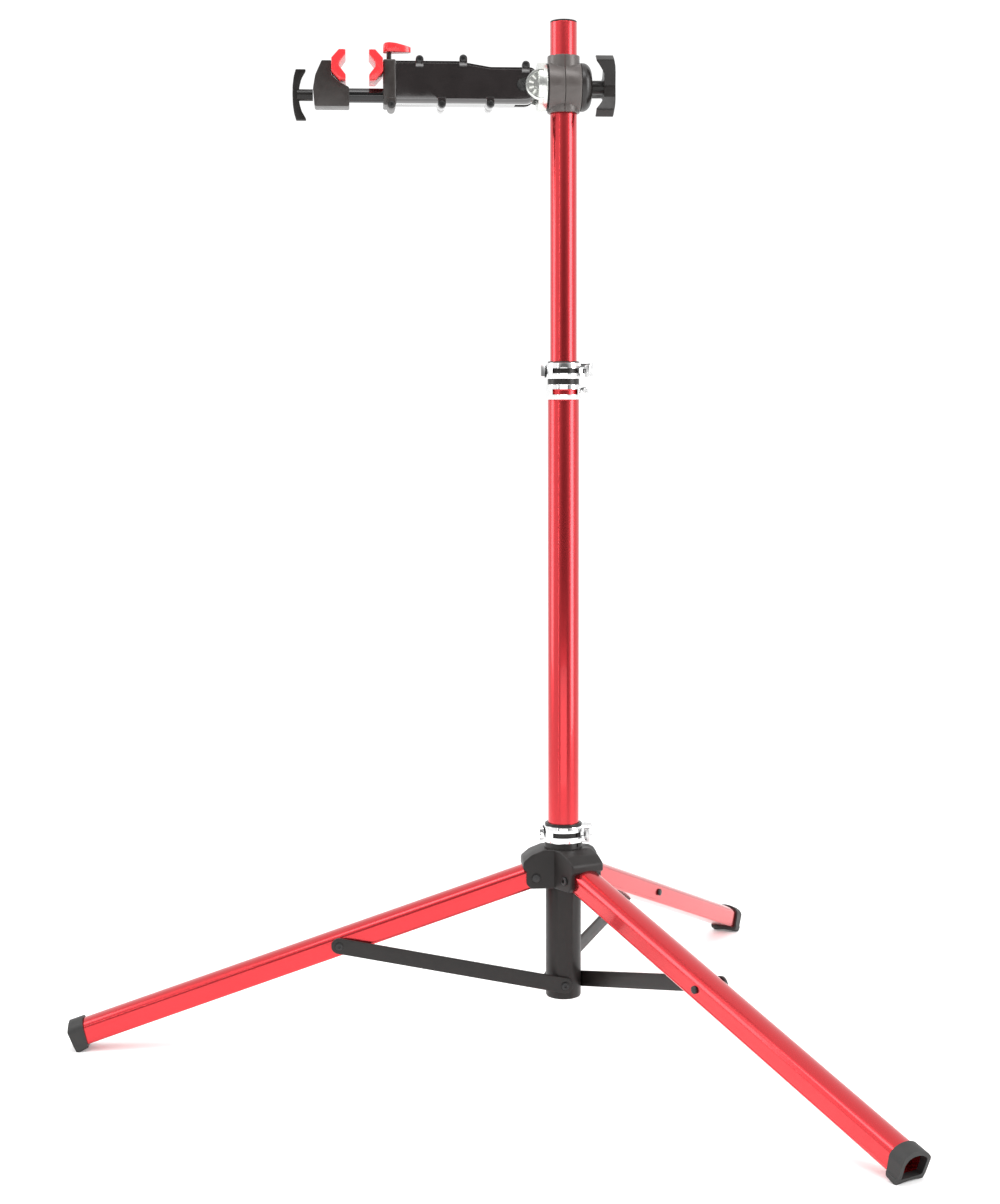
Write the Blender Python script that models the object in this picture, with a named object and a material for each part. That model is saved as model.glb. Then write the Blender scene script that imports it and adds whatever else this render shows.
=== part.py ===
"""Folding bike repair stand: a telescopic column on a sliding tripod, with a turning and folding clamp head.

Z is up, the floor is z = 0, the column stands on the Z axis and the clamp arm points along -X.
Lengths below are in millimetres, and the helpers turn them into metres.
"""

from math import cos, hypot, pi, radians, sin, sqrt, tan

import bmesh
import bpy
from mathutils import Matrix, Vector

MM = 0.001
GAP = 0.3                       # between pieces that touch or slide

# Column
INNER_R = 17.5                  # upper tube, outside
INNER_WALL = 1.6
OUTER_R = 20.65                 # lower tube, outside
OUTER_WALL = 1.75
MAST_TOP = 1345.5
MAST_BOTTOM = 420.0
OUTER_BOTTOM = 62.0

# Strut sleeve at the foot of the column
SLEEVE_R = 23.7
SLEEVE_BOTTOM = 57.0
SLEEVE_TOP = 209.2
SLEEVE_FLAT = 21.6              # distance of its three flats from the axis

# Sliding hub
HUB_BOTTOM = SLEEVE_TOP + GAP
HUB_ROOF = 262.0
NECK_R = 25.3
RING_LOW = 269.0
RING_HIGH = 291.5
RING_R = 26.0
CORE_R = 27.5
CHEEK_IN = 19.5
CHEEK_OUT = 25.5
CHEEK_REACH = 51.5
LIP_REACH = 56.0
LIP_LOW = 236.0
LIP_HIGH = 246.0
BAY_SIDE = 238.2                # room for a leg's end: top of its sides, and its crown
BAY_CROWN = 247.6

# Collar at the top of the lower tube: a pinched ring below, a quick-release ring above
COLLAR_R = 23.7
COLLAR_SPLIT = 886.0            # foot of the quick-release ring
COLLAR_HIGH = COLLAR_SPLIT + 21.0
COLLAR_GAP = 7.4                # open between the two rings
PINCH_HIGH = COLLAR_SPLIT - COLLAR_GAP
COLLAR_LOW = PINCH_HIGH - 19.6
PINCH_Z = COLLAR_LOW + 11.5     # pinch bolt
OUTER_TOP = PINCH_HIGH - 0.3

# Legs and struts, in the upright plane of each leg: r outwards, n across, z up
LEG_TURNS = (("left", 180.0), ("front", 300.0), ("back", 60.0))
LEG_HALF = 19.0
LEG_HEIGHT = 32.0
LEG_WALL = 2.2
LEG_SLOPE = radians(18.6)
PIVOT_R = 39.0
PIVOT_Z = 224.5
PIVOT_H = 13.8                  # of the pivot above the leg's bottom face
LEG_TAIL = 10.0                 # leg behind the pivot
LEG_LENGTH = 642.0              # leg ahead of the pivot
LEG_END_R = PIVOT_R + LEG_LENGTH * cos(LEG_SLOPE) - PIVOT_H * sin(LEG_SLOPE)
LEG_END_Z = PIVOT_Z - LEG_LENGTH * sin(LEG_SLOPE) - PIVOT_H * cos(LEG_SLOPE)
FOOT_RISE = 6.6489              # of the leg's lower end above the tread
STRUT_TOP_R = 301.5
STRUT_TOP_Z = 137.4
STRUT_FOOT_R = 0.0
STRUT_FOOT_Z = 77.2
STRUT_IN = 21.9
STRUT_THICK = 4.0
STRUT_WIDTH = 21.0

# Head
HEAD_Z = MAST_TOP - 82.3        # barrel below the upper tube's top
BARREL_R = 31.3
BARREL_LEFT = -20.7
BARREL_RIGHT = 21.5
SADDLE_R = 21.0
FLANGE_R = 31.0
FOLD_X = -54.2                  # fold pivot
BODY_REAR = -36.8
BODY_FRONT = -217.8
BODY_HALF = 22.0
NOSE_FRONT = -234.3
SHAFT_DZ = -12.5
SHAFT_R = 9.25
PAD_DZ = 22.6
PAD_HALF = 31.0
REAR_PAD_BACK = -234.6
REAR_PAD_LIP = -252.4
FRONT_PAD_BACK = -300.6
FRONT_PAD_LIP = -282.4
JAW_SEAT = FRONT_PAD_BACK - GAP

LOOKS = {                       # colour, roughness, metallic
    "red_metal": ((0.55, 0.012, 0.015), 0.28, 0.85),
    "chrome": ((0.80, 0.80, 0.79), 0.14, 1.0),
    "zinc": ((0.62, 0.61, 0.59), 0.24, 1.0),
    "steel": ((0.50, 0.50, 0.50), 0.32, 1.0),
    "black_steel": ((0.030, 0.030, 0.031), 0.35, 0.7),
    "casting": ((0.030, 0.028, 0.026), 0.42, 0.3),
    "barrel": ((0.055, 0.050, 0.046), 0.38, 0.5),
    "gloss_black": ((0.010, 0.010, 0.011), 0.12, 0.0),
    "black_plastic": ((0.016, 0.016, 0.017), 0.45, 0.0),
    "red_plastic": ((0.62, 0.012, 0.010), 0.32, 0.0),
    "rubber": ((0.012, 0.012, 0.012), 0.75, 0.0),
}

BODIES = {}


def clear_scene():
    for obj in list(bpy.data.objects):
        bpy.data.objects.remove(obj, do_unlink=True)


def keep(mesh, name="blank"):
    obj = bpy.data.objects.new(name, mesh)
    bpy.context.scene.collection.objects.link(obj)
    return obj


def bent(face):
    """Whether a face's points lie off its plane."""
    centre = face.calc_center_median()
    return max(abs((vert.co - centre).dot(face.normal)) for vert in face.verts) > 0.0005


def solid(bm):
    bmesh.ops.recalc_face_normals(bm, faces=bm.faces)
    bm.normal_update()
    bmesh.ops.triangulate(bm, faces=[face for face in bm.faces if len(face.verts) > 3 and bent(face)])
    mesh = bpy.data.meshes.new("blank")
    bm.to_mesh(mesh)
    bm.free()
    return keep(mesh)


def skin(rings, closed=False):
    """A solid skinned over rings of points, capped at both ends or closed into a loop."""
    bm = bmesh.new()
    loops = [[bm.verts.new(point) for point in ring] for ring in rings]
    pairs = list(zip(loops, loops[1:]))
    if closed:
        pairs.append((loops[-1], loops[0]))
    else:
        bm.faces.new(loops[0])
        bm.faces.new(loops[-1])
    for one, two in pairs:
        for i in range(len(one)):
            j = (i + 1) % len(one)
            bm.faces.new((one[i], one[j], two[j], two[i]))
    return solid(bm)


def spot(axis, u, v, t):
    """The point at (u, v) across an axis and t along it."""
    if axis == "X":
        return (t, u, v)
    if axis == "Y":
        return (u, t, v)
    return (u, v, t)


def turned(profile, axis="Z", at=(0.0, 0.0), sides=24, ring=False, start=0.0):
    """A turned solid from (radius, height) points; a ring's points go all round its section."""
    rings = []
    for radius, height in profile:
        turns = [start + 2 * pi * i / sides for i in range(sides)]
        rings.append([spot(axis, at[0] + radius * cos(a), at[1] + radius * sin(a), height) for a in turns])
    return skin(rings, closed=ring)


def rod(radius, low, high, axis="Z", at=(0.0, 0.0), sides=16, edge=0.0):
    if edge:
        profile = [(radius - edge, low), (radius, low + edge), (radius, high - edge), (radius - edge, high)]
    else:
        profile = [(radius, low), (radius, high)]
    return turned(profile, axis, at, sides)


def cap_head(radius, seat, top, axis, at, sides=12, edge=0.7):
    """A screw head from its seat to its top, with a chamfered rim."""
    way = 1 if top > seat else -1
    return turned([(radius, seat), (radius, top - way * edge), (radius - edge, top)], axis, at, sides)


def pipe(inner, outer, low, high, axis="Z", at=(0.0, 0.0), sides=24, edge=0.0):
    profile = [(inner, low), (outer - edge, low), (outer, low + edge), (outer, high - edge),
               (outer - edge, high),
               (inner, high)]
    if not edge:
        profile = [(inner, low), (outer, low), (outer, high), (inner, high)]
    return turned(profile, axis, at, sides, ring=True)


def plate(outline, axis, low, high):
    """An outline across an axis, pulled from low to high along it."""
    return skin([[spot(axis, u, v, t) for u, v in outline] for t in (low, high)])


def box(low, high):
    (x0, y0, z0), (x1, y1, z1) = low, high
    return plate([(x0, y0), (x1, y0), (x1, y1), (x0, y1)], "Z", z0, z1)


def rounded(corners, steps=4):
    """An outline from (u, v, radius) corners, each with its own rounding."""
    outline = []
    count = len(corners)
    for i, (u, v, radius) in enumerate(corners):
        here = Vector((u, v))
        if radius <= 0:
            outline.append((u, v))
            continue
        back = Vector(corners[i - 1][:2]) - here
        ahead = Vector(corners[(i + 1) % count][:2]) - here
        back.normalize()
        ahead.normalize()
        half = back.angle(ahead) / 2
        reach = radius / tan(half)
        centre = here + (back + ahead).normalized() * (radius / sin(half))
        first = here + back * reach - centre
        last = here + ahead * reach - centre
        turn = first.angle_signed(last)
        for step in range(steps + 1):
            arm = first.copy()
            arm.rotate(Matrix.Rotation(-turn * step / steps, 2))
            outline.append(tuple(centre + arm))
    return outline


def bake(obj):
    """Make an object's modifiers part of its mesh."""
    shape = obj.evaluated_get(bpy.context.evaluated_depsgraph_get())
    mesh = bpy.data.meshes.new_from_object(shape)
    obj.modifiers.clear()
    obj.data = mesh
    return obj


def combine(obj, tools, operation):
    for tool in tools:
        step = obj.modifiers.new(operation, "BOOLEAN")
        step.operation = operation
        step.solver = "EXACT"
        step.object = tool
        bake(obj)
        bpy.data.objects.remove(tool, do_unlink=True)
    return obj


def cut(obj, *tools):
    return combine(obj, tools, "DIFFERENCE")


def fuse(obj, *tools):
    return combine(obj, tools, "UNION")


def common(obj, *tools):
    return combine(obj, tools, "INTERSECT")


def bevelled(obj, width, segments=2, angle=30.0):
    step = obj.modifiers.new("edges", "BEVEL")
    step.width = width
    step.segments = segments
    step.limit_method = "ANGLE"
    step.angle_limit = radians(angle)
    return bake(obj)


def moved(obj, matrix):
    obj.data.transform(matrix)
    return obj


def body(name, at=(0.0, 0.0, 0.0), turn=0.0):
    """An empty on a moving body's joint axis; at is measured before the turn about the column."""
    empty = bpy.data.objects.new("axis_" + name, None)
    empty.empty_display_size = 0.03
    spin = Matrix.Rotation(radians(turn), 4, "Z")
    empty.location = spin @ Vector(at) * MM
    empty.rotation_euler = (0.0, 0.0, radians(turn))
    bpy.context.scene.collection.objects.link(empty)
    BODIES[name] = (empty, Vector(at))
    return name


def finish(name, obj, look, owner, sharp=32.0):
    """Name a piece, give it its own material and hang it on its body's empty."""
    empty, at = BODIES[owner]
    bm = bmesh.new()
    bm.from_mesh(obj.data)
    bmesh.ops.transform(bm, matrix=Matrix.Scale(MM, 4) @ Matrix.Translation(-at), verts=bm.verts)
    bmesh.ops.remove_doubles(bm, verts=bm.verts, dist=0.000002)
    bmesh.ops.dissolve_degenerate(bm, edges=bm.edges, dist=0.000002)
    bmesh.ops.dissolve_limit(bm, angle_limit=radians(0.4), verts=bm.verts, edges=bm.edges)
    bmesh.ops.recalc_face_normals(bm, faces=bm.faces)
    mesh = bpy.data.meshes.new(name)
    bm.to_mesh(mesh)
    bm.free()
    mesh.shade_smooth()
    mesh.set_sharp_from_angle(angle=radians(sharp))
    bpy.data.objects.remove(obj, do_unlink=True)
    piece = keep(mesh, name)
    piece.parent = empty
    colour, roughness, metallic = LOOKS[look]
    material = bpy.data.materials.new(name)
    material.use_nodes = True
    shader = material.node_tree.nodes["Principled BSDF"]
    shader.inputs["Base Color"].default_value = (*colour, 1.0)
    shader.inputs["Roughness"].default_value = roughness
    shader.inputs["Metallic"].default_value = metallic
    mesh.materials.append(material)
    return piece


def tubes():
    """Lower tube with its strut sleeve, and the upper tube with its end plug."""
    outer = pipe(OUTER_R - OUTER_WALL, OUTER_R, OUTER_BOTTOM, OUTER_TOP, sides=24)
    finish("lower_tube", outer, "red_metal", "base")
    inner = pipe(INNER_R - INNER_WALL, INNER_R, MAST_BOTTOM, MAST_TOP)
    finish("upper_tube", inner, "red_metal", "mast")
    bore = INNER_R - INNER_WALL - GAP
    plug = turned([(bore, MAST_TOP - 22), (bore, MAST_TOP + GAP), (INNER_R - 0.3, MAST_TOP + GAP),
                   (INNER_R - 0.3, MAST_TOP + 1.4), (INNER_R - 2.4, MAST_TOP + 2.6)], sides=24)
    finish("top_plug", plug, "black_plastic", "mast")


def sleeve():
    """Sleeve that carries the struts' lower ends, with a flat for each strut."""
    shape = turned([(OUTER_R + GAP, SLEEVE_BOTTOM + 4.6), (OUTER_R + GAP, SLEEVE_TOP),
                    (SLEEVE_R - 0.8, SLEEVE_TOP),
                    (SLEEVE_R, SLEEVE_TOP - 0.8), (SLEEVE_R, SLEEVE_BOTTOM + 3),
                    (SLEEVE_R - 1.2, SLEEVE_BOTTOM + 0.8), (SLEEVE_R - 3.2, SLEEVE_BOTTOM),
                    (14, SLEEVE_BOTTOM),
                    (14, SLEEVE_BOTTOM + 4.6)],
                   sides=24, ring=True)
    for _, turn in LEG_TURNS:
        flat = box((-30, SLEEVE_FLAT, SLEEVE_BOTTOM - 5), (30, 60, SLEEVE_TOP + 5))
        cut(shape, moved(flat, Matrix.Rotation(radians(turn), 4, "Z")))
    finish("strut_sleeve", shape, "casting", "base")


QR_HINGE = (31.0, 17.5)
QR_CAM = 6.0
QR_SLOT = 3.3                   # half the height of the level slot


def qr_ring(inner, outer, low, high):
    """Split clamping ring with two ears on the +X side and a level slot across its front."""
    middle = (low + high) / 2
    ring = pipe(inner, outer, low, high, sides=24, edge=0.6)
    ears = plate(rounded([(outer - 5, -11, 0), (35, -11, 0), (39, -7, 3), (39, 7, 3), (35, 11, 0),
                          (outer - 5, 11, 0)]),
                 "Z", low, high)
    cut(ears, rod(outer - 2, low - 5, high + 5, sides=24))
    fuse(ring, ears)
    cut(ring, box((inner - 6, -1.0, low - 5), (50, 1.0, high + 5)))
    cut(ring, box((-16, -60, middle - QR_SLOT), (50, -6, middle + QR_SLOT)))
    cut(ring, box((outer + 1.2, -20, middle - QR_SLOT), (50, 20, middle + QR_SLOT)))
    return ring


def qr_skewer(low, high):
    """Rod through the ears: an upright bar in front, and an eye with the lever's hinge pin behind."""
    middle = (low + high) / 2
    x, y = QR_HINGE
    bar = rod(4.0, middle - 8, middle + 8, "Z", (x, -15.3), 14, edge=0.8)
    fuse(bar, rod(2.5, -15.3, y, "Y", (x, middle), 12))
    fuse(bar, rod(4.4, middle - 3.2, middle + 3.2, "Z", (x, y), 14))
    fuse(bar, rod(2.0, middle - 9.6, middle + 9.6, "Z", (x, y), 12))
    return bar


def qr_lever(outer, low, high):
    """Curved lever around the back of a ring, forked over the skewer's eye."""
    middle = (low + high) / 2
    x, y = QR_HINGE
    inner, outside = outer + 1.6, outer + 6.9
    first, last, steps = 33.0, 191.0, 14
    rings = []
    for step in range(steps + 1):
        share = step / steps
        a = radians(first + (last - first) * share)
        tip = max(0.0, (share - 0.88) / 0.12)
        half = (10.0 - 1.4 * share) * sqrt(max(0.04, 1 - tip * tip))
        skim = 1.2 * tip
        near = (inner * cos(a), inner * sin(a))
        far = (outside * cos(a) - skim, outside * sin(a))
        rings.append([(*near, middle - half), (*far, middle - half), (*far, middle + half),
                      (*near, middle + half)])
    arm = skin(rings)
    fuse(arm, rod(QR_CAM, middle - 9.2, middle + 9.2, "Z", (x, y), 16))
    cut(arm, rod(QR_CAM + 0.6, middle - 3.6, middle + 3.6, "Z", (x, y), 16))
    cut(arm, rod(2.3, middle - 20, middle + 20, "Z", (x, y), 12))
    return arm


def mid_clamp():
    """Collar at the top of the lower tube: pinch ring below, quick-release ring above."""
    upper = qr_ring(OUTER_R + GAP, COLLAR_R, COLLAR_SPLIT, COLLAR_HIGH)
    pinch = pipe(OUTER_R + GAP, COLLAR_R, COLLAR_LOW, PINCH_HIGH, sides=24, edge=0.6)
    ears = plate(rounded([(18, -8, 0), (30, -8, 3), (33, -4, 2), (33, 4, 2), (30, 8, 3), (18, 8, 0)]),
                 "Z", PINCH_Z - 5, PINCH_Z + 5)
    cut(ears, rod(COLLAR_R - 2, COLLAR_LOW + 1, PINCH_HIGH + 1.4, sides=24))
    fuse(pinch, ears)
    cut(pinch, box((15, -0.8, COLLAR_LOW - 9), (50, 0.8, COLLAR_SPLIT - 1)))
    cut(pinch, box((-16, -60, PINCH_Z - 5), (17, -6, PINCH_Z + 2)))
    back = pipe(OUTER_R + GAP + 0.5, COLLAR_R - 0.5, PINCH_HIGH - 4, COLLAR_SPLIT + 4, sides=24)
    cut(back, box((-60, -60, COLLAR_LOW), (60, 12, COLLAR_HIGH)))
    fuse(upper, back)
    fuse(upper, pinch)
    bolt_at = (28.0, PINCH_Z)
    cut(upper, rod(2.3, -30, 30, "Y", bolt_at, 12))
    finish("mid_collar", upper, "chrome", "base")
    bolt = rod(2.0, -9, 10.6, "Y", bolt_at, 12)
    fuse(bolt, cap_head(3.7, -8.3, -11.2, "Y", bolt_at))
    fuse(bolt, turned([(3.6, 8.3), (3.6, 11.0)], "Y", bolt_at, 6))
    finish("mid_pinch_bolt", bolt, "steel", "base")
    finish("mid_skewer", qr_skewer(COLLAR_SPLIT, COLLAR_HIGH), "steel", "base")
    finish("mid_lever", qr_lever(COLLAR_R, COLLAR_SPLIT, COLLAR_HIGH), "chrome", "mid_lever")
    liner = OUTER_R - OUTER_WALL - GAP
    low = OUTER_TOP - 44.3
    bush = turned([(INNER_R + GAP, low), (liner, low), (liner, OUTER_TOP + GAP), (OUTER_R, OUTER_TOP + GAP),
                   (OUTER_R, COLLAR_HIGH + 1.2), (OUTER_R - 0.8, COLLAR_HIGH + 2),
                   (INNER_R + GAP, COLLAR_HIGH + 2)],
                  sides=24, ring=True)
    finish("mid_bush", bush, "black_plastic", "swivel")


def arch(half, low, side, crown, steps=6):
    """Outline (across, up) of an arched opening or bar: flat foot, upright sides, arched top."""
    outline = [(-half, low), (half, low)]
    for step in range(steps + 1):
        a = pi * step / steps
        outline.append((half * cos(a), side + (crown - side) * sin(a)))
    return outline


def leg_bay():
    """The space in the hub that a leg's end turns in."""
    rings = []
    for r, drop in ((CORE_R - 2.7, 0.0), (46.0, 0.0), (58.0, 6.5), (80.0, 18.0)):
        outline = arch(CHEEK_IN, HUB_BOTTOM - 19.5, BAY_SIDE - drop, BAY_CROWN - drop)
        rings.append([(r, n, z) for n, z in outline])
    return skin(rings)


def hub():
    """Cast hub: a core on the lower tube, a neck for the clamp ring, and three roofed arms."""
    bore = OUTER_R + 0.35
    low = HUB_BOTTOM
    shape = turned([(CORE_R, low), (CORE_R, HUB_ROOF - 4), (NECK_R, HUB_ROOF - 0.5),
                    (NECK_R, RING_LOW - GAP),
                    (23.2, RING_LOW - GAP),
                    (23.2, RING_HIGH - GAP)], sides=24)
    side = rounded([(0, low, 0), (45.5, low, 0), (CHEEK_REACH, low + 6, 5), (CHEEK_REACH, LIP_LOW - 3, 0),
                    (LIP_REACH, LIP_LOW, 2.5), (LIP_REACH, LIP_HIGH, 5), (44.5, LIP_HIGH + 9.5, 8),
                    (28, HUB_ROOF, 6), (0, HUB_ROOF, 0)], 2)
    for _, turn in LEG_TURNS:
        arm = bevelled(plate(side, "Y", -CHEEK_OUT, CHEEK_OUT), 1.6, 1, 50)
        fuse(shape, moved(arm, Matrix.Rotation(radians(turn), 4, "Z")))
    for _, turn in LEG_TURNS:
        cut(shape, moved(leg_bay(), Matrix.Rotation(radians(turn), 4, "Z")))
        pin = rod(3.3, -60, 60, "Y", (PIVOT_R, PIVOT_Z), 12)
        cut(shape, moved(pin, Matrix.Rotation(radians(turn), 4, "Z")))
    cut(shape, rod(bore, low - 10, RING_HIGH + 10, sides=24))
    cut(shape, rod(22.3, HUB_ROOF + 1, RING_HIGH + 20, sides=24))
    slit = box((15, -1.2, HUB_ROOF + 2), (40, 1.2, RING_HIGH + 10))
    cut(shape, moved(slit, Matrix.Rotation(radians(-48), 4, "Z")))
    finish("hub", shape, "casting", "hub")
    ring = qr_ring(23.2 + GAP, RING_R, RING_LOW, RING_HIGH)
    finish("base_collar", ring, "chrome", "hub")
    bush = turned([(OUTER_R + GAP, HUB_ROOF + 2), (22.0, HUB_ROOF + 2), (22.0, RING_HIGH + GAP),
                   (24.8, RING_HIGH + GAP), (24.8, RING_HIGH + 2.9), (24.0, RING_HIGH + 3.5),
                   (OUTER_R + GAP, RING_HIGH + 3.5)], sides=24, ring=True)
    finish("base_bush", bush, "black_plastic", "hub")
    finish("base_skewer", qr_skewer(RING_LOW, RING_HIGH), "steel", "hub")
    finish("base_lever", qr_lever(RING_R, RING_LOW, RING_HIGH), "chrome", "base_lever")
    for name, turn in LEG_TURNS:
        bolt = rod(3.0, -CHEEK_OUT - 1, CHEEK_OUT + 1, "Y", (PIVOT_R, PIVOT_Z), 12)
        fuse(bolt, cap_head(5.5, CHEEK_OUT + GAP, CHEEK_OUT + 3, "Y", (PIVOT_R, PIVOT_Z)))
        fuse(bolt, cap_head(5.5, -CHEEK_OUT - GAP, -CHEEK_OUT - 3, "Y", (PIVOT_R, PIVOT_Z)))
        moved(bolt, Matrix.Rotation(radians(turn), 4, "Z"))
        finish("leg_bolt_" + name, bolt, "black_steel", "hub")


def leg_outline(grow=0.0, under=None):
    """Leg section (across, up from its bottom face): flat sides, ridged lower edges, arched top."""
    half = LEG_HALF + grow
    foot = under if under is not None else -grow
    points = [(-half + 2.6, foot), (half - 2.6, foot), (half, 3.4)]
    steps = 6
    for step in range(steps + 1):
        a = pi * step / steps
        points.append((half * cos(a), 21.5 + (LEG_HEIGHT - 21.5 + grow) * sin(a)))
    points.append((-half, 3.4))
    return points


def on_leg(along, across, up):
    """A point given along the leg from its pivot, across it, and up from its bottom face."""
    lift = up - PIVOT_H
    r = PIVOT_R + along * cos(LEG_SLOPE) + lift * sin(LEG_SLOPE)
    z = PIVOT_Z - along * sin(LEG_SLOPE) + lift * cos(LEG_SLOPE)
    return (r, across, z)


def leg_blank():
    """Hollow leg with a rounded tail under its pivot."""
    rings = [[on_leg(a, n, h) for n, h in leg_outline()] for a in (-LEG_TAIL, LEG_LENGTH)]
    shape = skin(rings)
    bore = skin([[on_leg(a, n, h) for n, h in leg_outline(-LEG_WALL)] for a in (-LEG_TAIL - 5,
                                                                                LEG_LENGTH + 5)])
    cut(shape, bore)
    corner = [(-30.0, -20.0), (4.0, -20.0)]
    for step in range(7):
        a = radians(270 - 15 * step)
        corner.append((PIVOT_H * cos(a), PIVOT_H + PIVOT_H * sin(a)))
    corner.append((-30.0, PIVOT_H))
    trim = skin([[on_leg(a, n, h) for a, h in corner] for n in (-40, 40)])
    cut(shape, trim)
    cut(shape, rod(3.3, -60, 60, "Y", (PIVOT_R, PIVOT_Z), 12))
    cut(shape, rod(2.8, -60, 60, "Y", (STRUT_TOP_R, STRUT_TOP_Z), 12))
    return shape


def foot_blank():
    """Rubber boot: the leg section grown by its wall, with a slanted back, a raked front and a flat tread."""
    r, tread = LEG_END_R, LEG_END_Z - FOOT_RISE
    long, short = (LEG_LENGTH - 82, LEG_LENGTH + 78), (LEG_LENGTH - 42, LEG_LENGTH + 108)
    shape = skin([[on_leg(a, n, h) for n, h in leg_outline(3.0, -8.0)] for a in long])
    side = rounded([(r - 9.5, tread + 6.2, 1), (r + 1.9, tread, 0), (r + 6.4, tread, 1),
                    (r + 17.9, tread + 27, 3),
                    (r + 17.9, tread + 41.5, 3), (r + 0.5, tread + 46.5, 1)], 3)
    common(shape, plate(side, "Y", -40, 40))
    pocket = skin([[on_leg(a, n, h) for n, h in leg_outline(GAP)] for a in (LEG_LENGTH - 142,
                                                                            LEG_LENGTH + GAP)])
    cut(shape, pocket)
    cut(shape, skin([[on_leg(a, n, h) for n, h in leg_outline(-LEG_WALL)] for a in short]))
    cut(shape, rod(70, r - 43, r + 57, "X", (0, tread - 68.2), 24))
    return shape


def strut_blank():
    """Flat bar with round ends between the sleeve and the leg."""
    dr, dz = STRUT_TOP_R - STRUT_FOOT_R, STRUT_TOP_Z - STRUT_FOOT_Z
    length = hypot(dr, dz)
    u, v = dr / length, dz / length
    half = STRUT_WIDTH / 2
    outline = []
    for centre, first in ((0.0, 90.0), (length, -90.0)):
        for step in range(9):
            a = radians(first + 22.5 * step)
            along, up = centre + half * cos(a), half * sin(a)
            outline.append((STRUT_FOOT_R + along * u - up * v, STRUT_FOOT_Z + along * v + up * u))
    bar = bevelled(plate(outline, "Y", STRUT_IN, STRUT_IN + STRUT_THICK), 0.6, 1, 40)
    for r, z in ((STRUT_FOOT_R, STRUT_FOOT_Z), (STRUT_TOP_R, STRUT_TOP_Z)):
        cut(bar, rod(2.8, 0, 60, "Y", (r, z), 12))
    return bar


def legs():
    """Three legs with feet, struts and their screws."""
    for name, turn in LEG_TURNS:
        leg, strut = "leg_" + name, "strut_" + name
        body(leg, (PIVOT_R, 0, PIVOT_Z), turn)
        body(strut, (STRUT_TOP_R, 0, STRUT_TOP_Z), turn)
        finish(leg, leg_blank(), "red_metal", leg)
        finish("foot_" + name, foot_blank(), "rubber", leg)
        finish(strut, strut_blank(), "casting", strut)
        top = (STRUT_TOP_R, STRUT_TOP_Z)
        outer = STRUT_IN + STRUT_THICK
        bolt = rod(2.5, -LEG_HALF - 1, outer + 1, "Y", top, 12)
        fuse(bolt, cap_head(5.0, outer + GAP, outer + 2.8, "Y", top))
        fuse(bolt, cap_head(5.0, -LEG_HALF - GAP, -LEG_HALF - 2.8, "Y", top))
        fuse(bolt, rod(5.0, LEG_HALF + GAP, STRUT_IN - GAP, "Y", top, 14))
        finish("strut_pivot_" + name, bolt, "black_steel", leg)
        low = (STRUT_FOOT_R, STRUT_FOOT_Z)
        screw = rod(2.5, STRUT_IN + 0.1, outer + 1, "Y", low, 12)
        fuse(screw, cap_head(5.0, outer + GAP, outer + 2.8, "Y", low))
        finish("strut_screw_" + name, screw, "black_steel", strut)


def at_head(corners):
    """Side-view corners (x, height from the head's axis, radius) moved up to the head."""
    return [(x, HEAD_Z + dz, radius) for x, dz, radius in corners]


def barrel():
    """Two half shells around the upper tube, the end cap and the friction washer of the arm."""
    halves = (("barrel_left", BARREL_LEFT, -0.3), ("barrel_right", 0.3, BARREL_RIGHT))
    for name, low, high in halves:
        edge = 1.2
        if low < 0:
            profile = [(BARREL_R - edge, low), (BARREL_R, low + edge), (BARREL_R, high - 0.5),
                       (BARREL_R - 0.5, high)]
        else:
            profile = [(BARREL_R - 0.5, low), (BARREL_R, low + 0.5), (BARREL_R, high - edge),
                       (BARREL_R - edge, high)]
        shell = turned(profile, "X", (0, HEAD_Z), 24)
        saddle = turned([(SADDLE_R - 1, HEAD_Z - 33.6), (SADDLE_R, HEAD_Z - 32.6),
                         (SADDLE_R, HEAD_Z + 38.6),
                         (SADDLE_R - 1, HEAD_Z + 39.6)], sides=24)
        side = box((low, -50, HEAD_Z - 60), (high, 50, HEAD_Z + 60))
        fuse(shell, common(saddle, side))
        cut(shell, rod(INNER_R + GAP, HEAD_Z - 80, HEAD_Z + 80, sides=24))
        finish(name, shell, "barrel", "mast")
    x = BARREL_RIGHT + GAP
    dome = [(BARREL_R - 0.4, x), (BARREL_R - 0.4, x + 2.5)]
    for step in range(1, 6):
        a = radians(18 * step)
        dome.append((16.5 + (BARREL_R - 16.9) * cos(a), x + 2.5 + 11.7 * sin(a)))
    cap = turned(dome, "X", (0, HEAD_Z), 24)
    cut(cap, rod(6.3, x + 8, x + 30, "X", (0, HEAD_Z), 16))
    finish("barrel_cap", cap, "gloss_black", "mast")
    washer = pipe(12.0, 30.0, BARREL_LEFT - 1.9, BARREL_LEFT - GAP, "X", (0, HEAD_Z), 24)
    finish("spin_washer", washer, "black_plastic", "mast")


KNOB_LOW = 40.2
KNOB_HIGH = 66.2
KNOB_REACH = 41.2               # to the end of an arm
KNOB_WAIST = 16.6
LOBE = ((0, 1.0), (6, 0.996), (11, 0.98), (16, 0.59), (23.6, 0.30), (38, 0.075), (60, 0.0))


def knob_ring(x, reach, waist):
    """Outline with three blunt arms, the first pointing along +Y."""
    ring = []
    for arm in (0, 120, 240):
        for turn, lobe in [(-t, v) for t, v in LOBE[:0:-1]] + list(LOBE[:-1]):
            a = radians(arm + turn)
            radius = waist + (reach - waist) * lobe
            ring.append((x, radius * cos(a), HEAD_Z + radius * sin(a)))
    return ring


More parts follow.
